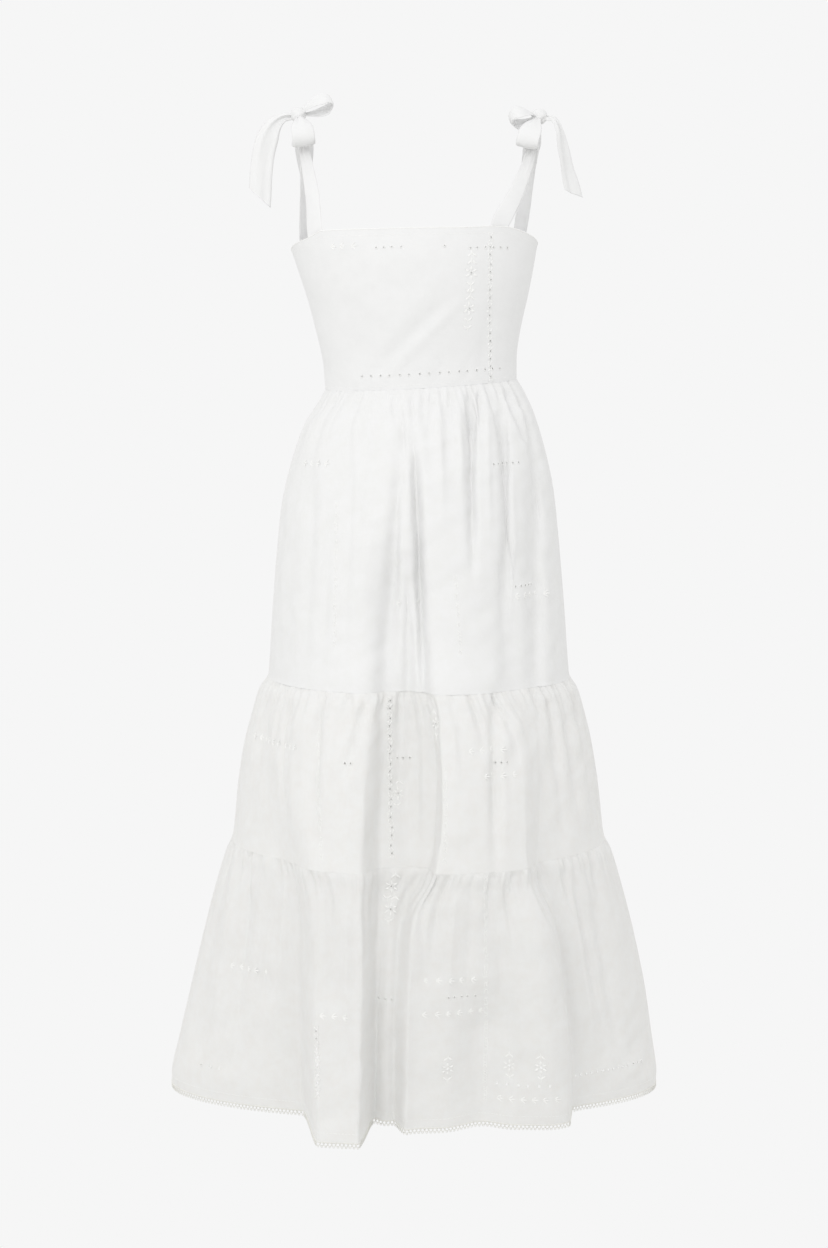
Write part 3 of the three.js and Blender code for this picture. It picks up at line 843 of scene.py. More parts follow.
@dataclass(frozen=True)
class Cotton:
    """A plain-woven cotton: its colour, how much light it lets through and its surface."""

    name: str
    colour: str
    slub: str
    roughness: float
    light_through: float
    crumple_mm: float
    crumple_depth_mm: float
    sheen: float = 0.05
    slub_mm: float = 14.0
    thread_mm: float = 0.8
    thread_depth_mm: float = 0.12

    def threads(self, tree: bpy.types.NodeTree, place: bpy.types.NodeSocket, way: str) -> bpy.types.Node:
        """Adds the threads of one direction of the weave."""
        # One wave is two threads: cotton voile has a thread each 0.3 mm, drawn coarser so that it shows.
        return add_node(
            tree, "ShaderNodeTexWave",
            {"bands_direction": way, "Scale": 1 / (self.thread_mm * MM * 2 * math.pi), "Distortion": 1.2},
            {"Vector": place},
        )

    def material(self) -> bpy.types.Material:
        """Makes the material: chalky white, faintly slubbed, with a soft crumple and a weave."""
        made = bare_material(self.name)
        tree = made.node_tree
        place = add_node(tree, "ShaderNodeTexCoord")
        weave_at = add_node(tree, "ShaderNodeUVMap", {"uv_map": "cloth"})
        slubs = add_node(
            tree, "ShaderNodeTexNoise", {"Scale": 1 / (self.slub_mm * MM), "Detail": 5.0, "Roughness": 0.62},
            {"Vector": place.outputs["Object"]},
        )
        tone = tone_ramp(tree, slubs.outputs["Fac"], (self.slub, self.colour), (0.3, 0.62))
        crumple = add_node(
            tree, "ShaderNodeTexNoise",
            {"Scale": 1 / (self.crumple_mm * MM), "Detail": 3.0, "Roughness": 0.5, "Distortion": 0.6},
            {"Vector": place.outputs["Object"]},
        )
        soft = add_node(
            tree, "ShaderNodeBump", {"Strength": 0.6, "Distance": self.crumple_depth_mm * MM},
            {"Height": crumple.outputs["Fac"]},
        )
        warp = self.threads(tree, weave_at.outputs["UV"], "X")
        weft = self.threads(tree, weave_at.outputs["UV"], "Y")
        threads = add_node(
            tree, "ShaderNodeMath", {"operation": "MAXIMUM"},
            {0: warp.outputs["Fac"], 1: weft.outputs["Fac"]},
        )
        woven = add_node(
            tree, "ShaderNodeBump", {"Strength": 0.25, "Distance": self.thread_depth_mm * MM},
            {"Height": threads.outputs[0], "Normal": soft.outputs["Normal"]},
        )
        cloth = add_node(
            tree, "ShaderNodeBsdfPrincipled",
            {"Roughness": self.roughness, "Sheen Weight": self.sheen, "Sheen Roughness": 0.5,
             "Specular IOR Level": 0.25},
            {"Base Color": tone.outputs["Color"], "Normal": woven.outputs["Normal"]},
        )
        through = add_node(
            tree, "ShaderNodeBsdfTranslucent", {},
            {"Color": tone.outputs["Color"], "Normal": woven.outputs["Normal"]},
        )
        mixed = add_node(
            tree, "ShaderNodeMixShader", {0: self.light_through},
            {1: cloth.outputs["BSDF"], 2: through.outputs["BSDF"]},
        )
        add_node(tree, "ShaderNodeOutputMaterial", {}, {"Surface": mixed.outputs["Shader"]})
        return made


@dataclass(frozen=True)
class Thread:
    """Embroidery or lace thread of mercerised cotton: a little silkier than the cloth, with painted shade in
    its grooves.
    """

    name: str
    colour: str
    # The groove colour is painted shade, laid into the thread's grooves.
    groove: str
    roughness: float = 0.7
    twist_mm: float = 0.7
    groove_depth_mm: float = 0.1

    def material(self) -> bpy.types.Material:
        """Makes the material: bright thread with the fine grooves of laid stitches, their shade painted into
        the colour where the grooves sink.
        """
        made = bare_material(self.name)
        tree = made.node_tree
        place = add_node(tree, "ShaderNodeTexCoord")
        grooves = add_node(
            tree, "ShaderNodeTexNoise", {"Scale": 1 / (self.twist_mm * MM), "Detail": 2.0},
            {"Vector": place.outputs["Object"]},
        )
        laid = add_node(
            tree, "ShaderNodeBump", {"Strength": 0.5, "Distance": self.groove_depth_mm * MM},
            {"Height": grooves.outputs["Fac"]},
        )
        # Painted shade: where the grooves' bump sinks, the colour turns to the darker groove colour.
        tone = tone_ramp(tree, grooves.outputs["Fac"], (self.groove, self.colour), (0.25, 0.6))
        thread = add_node(
            tree, "ShaderNodeBsdfPrincipled",
            {"Roughness": self.roughness, "Sheen Weight": 0.15, "Specular IOR Level": 0.35},
            {"Base Color": tone.outputs["Color"], "Normal": laid.outputs["Normal"]},
        )
        add_node(tree, "ShaderNodeOutputMaterial", {}, {"Surface": thread.outputs["BSDF"]})
        return made


# Bodice, straps and knots: chalky white, and the lining behind it lets hardly any light through.
LINED_COTTON = Cotton("cotton voile over lining", "#ececec", "#eaeaea", 0.88, 0.03, 22, 0.5)
# Upper tier: the same lined cloth, painted a touch greyer as shade, to hold back the extra light that its
# upward-flaring cloth catches from above.
LINED_SKIRT_PAINTED_SHADE = Cotton("cotton voile over lining, skirt, painted shade", "#ebebeb", "#e9e9e8", 0.88, 0.03, 22, 0.5)
# Middle tier: a single layer, whiter, that glows softly where light comes from behind.
SINGLE_COTTON = Cotton("cotton voile single layer", "#efefee", "#edecea", 0.9, 0.14, 20, 0.6)
# Lowest tier: the sheerest cloth, its colour painted a touch greyer than the middle tier's as shade of the
# open, unlit inside of the skirt behind it.
SHEER_COTTON_PAINTED_SHADE = Cotton("cotton voile lowest tier, painted shade", "#ededec", "#ebeae8", 0.9, 0.16, 20, 0.6)
# Loops and ends of the ties: pressed double, so smooth and nearly opaque.
TIE_COTTON = Cotton("cotton voile tie ends", "#eeeeee", "#ededed", 0.9, 0.04, 16, 0.15)
# Lining: plain and even, painted a shade lighter than the cloth as light, to lift the shade where it shows in
# the eyelet holes and inside the neck.
LINING_PAINTED_LIGHT = Cotton("cotton lawn lining, painted light", "#f3f3f3", "#f1f1f1", 0.92, 0.1, 24, 0.2, sheen=0.0)
# The lining's distance inside the cloth, and how many of the cloth's rows each of its rows spans.
LINING_DEPTH = 0.8
LINING_STEP = 2
# Stitches: painted a little brighter than the cloth as light, to make up for the shade the raised stitches
# cast on themselves; the second colour is painted shade in the fine grooves of thread laid side by side.
EMBROIDERY_PAINTED_LIGHT_AND_SHADE = Thread("cotton embroidery thread, painted light and shade", "#f4f4f3", "#e8e8e5")
# Hem edging: a shade creamier and duller than the cloth above it; its second colour is painted shade in the
# grooves of the thread.
LACE_THREAD_AND_GROOVE_SHADE = Thread("cotton lace thread, painted groove shade", "#e9e8e3", "#e3e3de")


class Wardrobe:
    """The finishes, made once, and what each piece is told."""

    def __init__(self) -> None:
        """Starts with no material made."""
        self.made: dict[str, bpy.types.Material] = {}

    def dress(
        self, piece: bpy.types.Object, finish: Cotton | Thread, nodes: Sequence[str] = ()
    ) -> None:
        """Gives a piece its finish and slot, lets it ride, and hides the solids it stands for.

        Args:
            piece: the piece.
            finish: its material's finish.
            nodes: the solids that it replaces.
        """
        if finish.name not in self.made:
            self.made[finish.name] = finish.material()
        piece.data.materials.append(self.made[finish.name])
        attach(piece, BODY)
        if nodes:
            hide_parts(*nodes)
        LOG.info("%s: %d faces", piece.name, len(piece.data.polygons))


@dataclass(frozen=True)
class Ladder:
    """A line of drawn-thread work down a panel, with open eyelets or stitched closed."""

    top_x: float
    low_x: float
    start: float
    end: float
    is_open: bool = True


@dataclass(frozen=True)
class EyeletRow:
    """A horizontal row of eyelets."""

    z: float
    start: float
    end: float
    pitch: float


@dataclass(frozen=True)
class LeafBand:
    """A horizontal row of small embroidered leaf pairs."""

    z: float
    start: float
    end: float


@dataclass(frozen=True)
class Sprig:
    """A flower round an eyelet, with leaves above and below it."""

    x: float
    z: float
    pairs: int


@dataclass(frozen=True)
class Stitchery:
    """The embroidery of one panel."""

    ladders: tuple[Ladder, ...] = ()
    rows: tuple[EyeletRow, ...] = ()
    bands: tuple[LeafBand, ...] = ()
    sprigs: tuple[Sprig, ...] = ()


class Embroidery:
    """Eyelets, satin leaves and corded lines worked on a panel."""

    LADDER_PITCH = 11.0
    LADDER_RADIUS = 1.8
    EYELET_RADIUS = 1.7
    RING_THREAD = 0.55
    LADDER_BAR = Satin(4.6, 1.5, 0.9, 2.6)
    LADDER_TURNS = (62, 118, 242, 298)
    # The bars of a ladder that is stitched closed are smaller.
    CLOSED_SIZE = 0.7
    BAND_PITCH = 15.0
    BAND_LEAF = Satin(7.0, 2.0, 0.9, 0.5)
    BAND_TIP = Satin(8.5, 2.0, 0.9, 0.5)
    BAND_TURN = 35
    PETALS = 6
    PETAL = Satin(5.6, 3.0, 1.2, 3.2)
    # Leaf pairs start this far from a flower's middle and follow at even steps.
    PAIR_START = 4.0
    PAIR_STEP = 11.0
    PAIR_LEAF = Satin(7.0, 2.6, 1.0, 0.8)
    PAIR_TURNS = (40, 140)
    PAIR_STEM = Satin(7.5, 1.3, 0.8, -3.8)

    def __init__(self, grid: ClothGrid) -> None:
        """Takes the panel's cloth."""
        self.grid = grid
        self.joined = Joined()

    def eyelets(self, cells: Sequence[tuple[int, int]], radius: float) -> None:
        """Cuts the cells and winds a ring round each hole."""
        if not cells:
            return
        self.grid.holes.update(cells)
        self.joined.add_copies(Form.ring(radius, self.RING_THREAD), self.grid.at_cells(cells, RING_LIFT))

    def ladder(self, line: Ladder) -> None:
        """Works one line of drawn threads with slanting satin stitches at both edges."""
        cells = self.grid.cells_down(line, self.LADDER_PITCH)
        places = self.grid.at_cells(cells)
        if line.is_open:
            self.eyelets(cells, self.LADDER_RADIUS)
        else:
            self.joined.add_copies(Form.ring(self.LADDER_RADIUS, self.RING_THREAD), places)
        for turn in self.LADDER_TURNS:
            size = 1.0 if line.is_open else self.CLOSED_SIZE
            self.joined.add_copies(self.LADDER_BAR.turned(turn, size), places)

    def band(self, line: LeafBand) -> None:
        """Works a row of leaf pairs."""
        cells = self.grid.cells_across(line.z, line.start, line.end, self.BAND_PITCH)
        if not cells:
            return
        places = self.grid.at_cells(cells)
        for turn in (self.BAND_TURN, -self.BAND_TURN):
            self.joined.add_copies(self.BAND_LEAF.turned(turn), places)
        self.joined.add_copies(self.BAND_TIP.turned(0), places)

    def sprig(self, motif: Sprig) -> None:
        """Works a flower with leaf pairs above and below."""
        row = self.grid.held_row(self.grid.row_near(motif.x, motif.z))
        column = self.grid.column_near(motif.x, motif.z)
        self.eyelets([(row, column)], self.EYELET_RADIUS)
        middle = self.grid.at_cells([(row, column)])
        for petal in range(self.PETALS):
            self.joined.add_copies(self.PETAL.turned(360 / self.PETALS * (petal + 0.5)), middle)
        for way in (1, -1):
            for pair in range(1, motif.pairs + 1):
                step = int(round((self.PAIR_START + self.PAIR_STEP * pair) / CELL_DOWN)) * way
                leaves = self.grid.at_cells([(self.grid.held_row(row + step), column)])
                for turn in self.PAIR_TURNS:
                    self.joined.add_copies(self.PAIR_LEAF.turned(-way * turn), leaves)
                self.joined.add_copies(self.PAIR_STEM.turned(90 * way), leaves)

    def work(self, plan: Stitchery) -> None:
        """Works the whole plan."""
        for ladder in plan.ladders:
            self.ladder(ladder)
        for row in plan.rows:
            cells = self.grid.cells_across(row.z, row.start, row.end, row.pitch)
            self.eyelets(cells, self.EYELET_RADIUS)
        for band in plan.bands:
            self.band(band)
        for sprig in plan.sprigs:
            self.sprig(sprig)


@dataclass
class Skirt:
    """The skirt's form under its gathers."""

    sections: tuple[Section, ...] = SKIRT_SECTIONS
    hollow_fade: tuple[float, float] = (0.25, 0.55)

    def reach(self, half: Half, x: np.ndarray, z: float) -> np.ndarray:
        """How far the broad folds and hollows of one half move the cloth out.

        Args:
            half: the front or the back.
            x: places across the dress.
            z: the height.

        Returns:
            The reach at each place.
        """
        total = -trough(half.hollows, x, np.asarray(z), self.hollow_fade)
        for rows in half.folds:
            begun = 1 - float(smoothstep(np.asarray(z), rows[0].z, rows[0].z + FOLD_LEAD))
            left, right, out, left_bend, right_bend = (
                column_at(rows, name, z) for name in ("left", "right", "reach", "left_bend", "right_bend")
            )
            rise = smoothstep(x, left - left_bend / 2, left + left_bend / 2)
            fall = 1 - smoothstep(x, right - right_bend / 2, right + right_bend / 2)
            total = total + begun * out * rise * fall
        return total

    def outline(self, half: Half, z: float) -> dict[str, np.ndarray]:
        """The outline of one half at a height: places, arc length, reach and outward direction."""
        angle = np.linspace(-math.pi / 2, math.pi / 2, OUTLINE_SAMPLES + 1)
        x = column_at(self.sections, "centre", z) + column_at(self.sections, "half", z) * np.sin(angle)
        reach = self.reach(half, x, z) * smoothstep(np.cos(angle), 0, FOLD_FADE)
        depth = column_at(self.sections, half.side.value, z)
        y = half.side.sign * (depth * np.cos(angle) + reach)
        arc = np.concatenate([[0], np.cumsum(np.hypot(np.diff(x), np.diff(y)))])
        normal = unit(np.stack([-half.side.sign * np.gradient(y), half.side.sign * np.gradient(x)], axis=1))
        return {"x": x, "y": y, "arc": arc, "reach": reach, "nx": normal[:, 0], "ny": normal[:, 1]}

    def thread_lines(self, half: Half, line: dict[str, np.ndarray], z: float, folded: bool) -> np.ndarray:
        """Arc lengths of the side seams and of the fold walls between them."""
        walls = []
        for rows in half.folds if folded else ():
            for end in ("left", "right"):
                walls.append(np.interp(column_at(rows, end, z), line["x"], line["arc"]))
        return np.array([0.0, *walls, line["arc"][-1]])


@dataclass(frozen=True)
class Gathers:
    """Uneven folds that hang from a gathered seam: their spacing, depth, length and sharpness.

    The fullness is a share of the depth at even steps from the left side seam to the right one.
    """

    pitch: float
    depth: float
    length: float
    sharpness: float
    fullness: tuple[float, ...] = (1.0, 1.0)
    # How much the spacing, the depth, the length and the lean of single folds vary.
    shift: float = 0.42
    depth_range: tuple[float, float] = (0.35, 1.3)
    length_spread: float = 0.5
    lean: float = 0.06
    # A fold starts shallow in the seam, opens over a short height and widens on its way down.
    seam_share: float = 0.12
    seam_height: float = 7.0
    widening: float = 1.1
    widest_run: float = 1.6
    fade_run: float = 0.85

    def depth_at(self, arcs: np.ndarray, down: np.ndarray, seed: int) -> np.ndarray:
        """Depth of the folds that run down from the seam.

        Args:
            arcs: place of each point along its row.
            down: distance of each row below the seam.
            seed: seed of the uneven spacing, depth and length.

        Returns:
            How far the folds press each point in.
        """
        draw = np.random.default_rng(seed)
        shares = np.linspace(0, 1, arcs.shape[1])
        count = int(arcs[0, -1] / self.pitch)
        middles = (np.arange(count) + 0.5 + draw.uniform(-self.shift, self.shift, count)) / count
        depths = self.depth * draw.uniform(*self.depth_range, count)
        depths = depths * np.interp(middles, np.linspace(0, 1, len(self.fullness)), self.fullness)
        lengths = self.length * np.exp(draw.normal(0.0, self.length_spread, count))
        leans = draw.uniform(-self.lean, self.lean, count)
        total = np.zeros(arcs.shape)
        for middle, deep, long, lean in zip(middles, depths, lengths, leans):
            run = down / long
            centre = np.array([np.interp(middle, shares, row) for row in arcs]) + lean * down
            wide = self.pitch / self.sharpness * (1 + self.widening * np.minimum(run, self.widest_run))
            opened = self.seam_share + (1 - self.seam_share) * smoothstep(down, 0, self.seam_height)
            level = deep * opened * np.exp(-((run / self.fade_run) ** 2))
            total += level[:, None] * np.exp(-(((arcs - centre[:, None]) / wide[:, None]) ** 2))
        return total


@dataclass
class Tier:
    """One gathered tier of the skirt: both halves, their gathers, folds and embroidery."""

    name: str
    top: float
    bottom: float
    tilt: float
    top_droop: float
    bottom_droop: float
    folded: bool
    gathers: Gathers
    long_folds: Gathers
    seed: int
    finish: Cotton
    slot: str
    skirt: Skirt = field(default_factory=Skirt)
    # Gathers and creases end at the side seams, and further from them on the last rows.
    side_fade: float = 60.0
    low_fade: tuple[float, float] = (40.0, 120.0)
    low_rows: tuple[float, float] = (0.9, 1.0)
    # The cloth puffs out just below its gathered seam.
    puff: float = 1.2
    puff_drop: float = 9.0
    puff_height: float = 8.0
    # The mean of the gathers lies on the tier's form, so their depth is given back in part.
    given_back: float = 0.4
    given_back_start: float = 6.0
    crease_fade: tuple[float, float] = (0.2, 0.45)
    ripple_waves: tuple[float, float] = (26.0, 90.0)
    ripple_height: float = 0.55
    ripple_start: float = 25.0
    ripple_low: float = 0.6
    # Added to the seed for the long folds and for the ripple.
    long_seed: int = 20
    ripple_seed: int = 40
    hem_stitch_row: int = 5

    def grid(self, half: Half) -> ClothGrid:
        """The cloth of one half, from its upper seam down.

        Args:
            half: the front or the back.

        Returns:
            The rows of points.
        """
        low = self.skirt.outline(half, self.bottom)
        low_lines = self.skirt.thread_lines(half, low, self.bottom, self.folded)
        columns = int(round(low_lines[-1] / CELL_ACROSS)) + 1
        rows = int(round((self.top - self.bottom) / CELL_DOWN)) + 1
        low_arcs = np.linspace(0, low_lines[-1], columns)
        share = np.linspace(0, 1, rows)
        levels = self.top + (self.bottom - self.top) * share
        plain = {name: np.empty((rows, columns)) for name in ("x", "y", "reach", "nx", "ny", "arc")}
        for r, level in enumerate(levels):
            line = self.skirt.outline(half, level)
            lines = self.skirt.thread_lines(half, line, level, self.folded)
            arcs = np.interp(low_arcs, low_lines, lines)
            plain["arc"][r] = arcs
            for name in ("x", "y", "reach", "nx", "ny"):
                plain[name][r] = np.interp(arcs, line["arc"], line[name])
        down = (self.top - levels)[:, None]
        seed = self.seed + (half.side is Side.BACK)
        edge = np.minimum(plain["arc"], plain["arc"][:, -1:] - plain["arc"])
        last_rows = smoothstep(share[:, None], *self.low_rows)
        low_end = last_rows * (1 - smoothstep(edge, *self.low_fade))
        aside = smoothstep(edge, 0, self.side_fade) * (1 - low_end)
        out = self.puff * np.exp(-(((down - self.puff_drop) / self.puff_height) ** 2))
        for folds, offset in ((self.gathers, 0), (self.long_folds, self.long_seed)):
            out = out - folds.depth_at(plain["arc"], down[:, 0], seed + offset)
            begun = smoothstep(down, 0, self.given_back_start)
            out = out + folds.depth * self.given_back * np.exp(-down / folds.length) * begun
        out = out - trough(half.creases, plain["x"], levels[:, None] + 0 * plain["x"], self.crease_fade)
        ends = smoothstep(down, 0, self.ripple_start) * (1 - self.ripple_low * last_rows)
        uneven = ripple(plain["arc"], down, self.ripple_waves, self.ripple_height, seed + self.ripple_seed)
        out = (out + uneven * ends) * aside
        front_depth = column_at(self.skirt.sections, "front", levels)[:, None]
        droop = (self.top_droop + (self.bottom_droop - self.top_droop) * share)[:, None]
        z = levels[:, None] + (1 - share[:, None]) * self.tilt * plain["x"]
        z = z - droop * np.maximum(0, -plain["y"]) / front_depth
        if self.bottom == HEM:
            z = z - share[:, None] * HEM_DROP_PER_REACH * plain["reach"]
        points = np.stack([plain["x"] + plain["nx"] * out, plain["y"] + plain["ny"] * out, z], axis=2)
        outward = np.stack([plain["nx"], plain["ny"], 0 * z], axis=2)
        return ClothGrid(points, outward)

    def build(self, wardrobe: Wardrobe, half: Half, plan: Stitchery) -> ClothGrid:
        """Makes one half with its embroidery, and states its cut.

        Args:
            wardrobe: gives the finishes.
            half: the front or the back.
            plan: the embroidery of this half.

        Returns:
            The cloth, for what is sewn to it.
        """
        side = half.side.value
        grid = self.grid(half)
        work = Embroidery(grid)
        work.work(plan)
        if self.bottom == HEM:
            SeamStitches().along(work.joined, grid, grid.shape[0] - self.hem_stitch_row)
        cloth = grid.build(f"{self.name}_{side}_cloth")
        wardrobe.dress(cloth, self.finish, [f"{self.name}_{side}"])
        thread = work.joined.build(f"{self.name}_{side}_embroidery")
        wardrobe.dress(thread, EMBROIDERY_PAINTED_LIGHT_AND_SHADE)
        flat = (grid.width(grid.shape[0] - 1) * MM, grid.height() * MM)
        if self.finish is LINED_SKIRT_PAINTED_SHADE:
            lining = grid.lining(f"{self.name}_{side}_lining", LINING_DEPTH, LINING_STEP)
            wardrobe.dress(lining, LINING_PAINTED_LIGHT)
        LOG.info("%s cut %.3f x %.3f m", cloth.name, *flat)
        return grid


@dataclass(frozen=True)
class SeamStitches:
    """A line of sewing beside a seam or a turned edge."""

    length: float = 2.6
    pitch: float = 4.0
    width: float = 0.7
    height: float = 0.4

    def along(self, joined: Joined, grid: ClothGrid, row: int) -> None:
        """Sews along one row of a panel."""
        arc = arc_lengths(grid.points[row])
        columns = np.searchsorted(arc, np.arange(self.pitch, arc[-1] - self.pitch, self.pitch)) - 1
        columns = np.unique(np.clip(columns, 0, grid.shape[1] - 1 - HOLE_COLUMNS))
        stitch = Form.satin(self.length, self.width, self.height, 0, -self.length / 2)
        joined.add_copies(stitch, grid.at_cells([(row, int(column)) for column in columns]))


@dataclass
class Bodice:
    """The fitted bodice: front and back, with a rolled upper edge."""

    sections: tuple[Section, ...] = BODICE_SECTIONS
    rows: int = 63
    columns: int = 201
    # The rolled edge: its radius, its sides and how far its middle lies inside the cloth.
    roll: float = 0.9
    roll_sides: int = 8
    roll_sunk: float = 0.3
    # Rows of sewing below the upper edge and above the waist seam.
    upper_stitch_row: int = 2
    waist_stitch_row: int = 3
    # Drag lines and ripples end at the side seams and at both edges.
    side_fade: float = 0.3
    edge_fade: float = 0.08
    waist_fade: float = 0.97
    drag_fade: tuple[float, float] = (0.35, 0.6)
    ripple_waves: tuple[float, float] = (22.0, 80.0)
    ripple_height: float = 0.3
    seed: int = 11
    # The flat panel is a little longer than its middle, because the bust takes up some length.
    cut_share: float = 1.04

    def grid(self, half: Half) -> ClothGrid:
        """The cloth of one half, from its upper edge down to the waist seam."""
        angles = np.linspace(-90, 90, self.columns)
        edge = np.interp(angles, [p.angle for p in half.edge], [p.z for p in half.edge])
        share = np.linspace(0, 1, self.rows)[:, None]
        level = edge[None, :] + (WAIST - edge[None, :]) * share
        angle = np.radians(angles)[None, :] + 0 * level
        width = column_at(self.sections, "half", level)
        depth = column_at(self.sections, half.side.value, level)
        x = column_at(self.sections, "centre", level) + width * np.sin(angle)
        y = half.side.sign * depth * np.cos(angle)
        facing = half.side.sign * np.cos(angle) / depth
        normal = unit(np.stack([np.sin(angle) / width, facing, 0 * x], axis=2))
        aside = smoothstep(np.cos(angle), 0, self.side_fade) * smoothstep(share, 0, self.edge_fade)
        aside = aside * (1 - smoothstep(share, self.waist_fade, 1))
        out = -trough(half.drag, x, level, self.drag_fade)
        uneven = ripple(x, level, self.ripple_waves, self.ripple_height, self.seed + half.side.sign)
        out = (out + uneven) * aside
        droop = WAIST_DROOP * share**2 * np.maximum(0, -y) / depth
        z = level + share * WAIST_TILT * x - droop
        points = np.stack([x, y, z], axis=2) + normal * out[:, :, None]
        return ClothGrid(points, normal)

    def build(self, wardrobe: Wardrobe, half: Half, plan: Stitchery) -> ClothGrid:
        """Makes one half with its embroidery, and states its cut.

        Args:
            wardrobe: gives the finishes.
            half: the front or the back.
            plan: the embroidery of this half.

        Returns:
            The cloth, for the straps that are sewn to it.
        """
        side = half.side.value
        grid = self.grid(half)
        work = Embroidery(grid)
        work.work(plan)
        SeamStitches().along(work.joined, grid, self.upper_stitch_row)
        SeamStitches().along(work.joined, grid, grid.shape[0] - self.waist_stitch_row)
        cloth = grid.build(f"bodice_{side}_cloth")
        wardrobe.dress(cloth, LINED_COTTON, [f"bodice_{side}"])
        thread = work.joined.build(f"bodice_{side}_embroidery")
        wardrobe.dress(thread, EMBROIDERY_PAINTED_LIGHT_AND_SHADE)
        rolled = Joined()
        line = grid.points[0] - self.roll_sunk * grid.outward[0]
        rolled.add_cord(line, grid.outward[0], -grid.down[0], self.roll, self.roll_sides)
        roll = rolled.build(f"bodice_{side}_edge")
        wardrobe.dress(roll, EMBROIDERY_PAINTED_LIGHT_AND_SHADE)
        widest = max(grid.width(row) for row in range(grid.shape[0]))
        flat = (widest * MM, self.cut_share * grid.height() * MM)
        area = min(grid.area(), flat[0] * flat[1])
        lining = grid.lining(f"bodice_{side}_lining", LINING_DEPTH, LINING_STEP)
        wardrobe.dress(lining, LINING_PAINTED_LIGHT)
        LOG.info("%s cut %.3f x %.3f m", cloth.name, *flat)
        return grid


@dataclass
class HemLace:
    """Narrow looped edging below the hem: a row of small rings with a picot under each."""

    pitch: float = 5.2
    thread: float = 0.55
    picot_thread: float = 0.44
    # Radius of the rings and of the picots, and how far their middles hang below the hem.
    ring: float = 2.3
    ring_drop: float = 2.5
    picot: float = 1.15
    picot_drop: float = 5.6
    segments: int = 10
    sides: int = 4
    # The cord that joins the edging to the hem.
    cord: float = 0.7
    cord_sides: int = 6

    def build(self, wardrobe: Wardrobe, grid: ClothGrid, side: Side) -> None:
        """Hangs the edging from the lowest row of a panel."""
        line = grid.points[-1]
        arc = arc_lengths(line)
        count = int(arc[-1] / self.pitch)
        wanted = (np.arange(count) + 0.5) * (arc[-1] / count)
        points = at_arcs(line, arc, wanted)
        across = unit(at_arcs(grid.across[-1], arc, wanted))
        upward = np.array([0.0, 0.0, 1.0])
        down = np.zeros_like(points) - upward
        outward = unit(np.cross(across, down))
        joined = Joined()
        for radius, drop, thick in (
            (self.ring, self.ring_drop, self.thread), (self.picot, self.picot_drop, self.picot_thread)
        ):
            places = Places(points + down * drop, across, down, outward)
            joined.add_copies(Form.ring(radius, thick, self.segments, self.sides), places)
        joined.add_cord(line, grid.outward[-1], upward, self.cord, self.cord_sides)
        piece = joined.build(f"hem_lace_{side.value}_loops")
        wardrobe.dress(piece, LACE_THREAD_AND_GROOVE_SHADE, [f"hem_lace_{side.value}"])


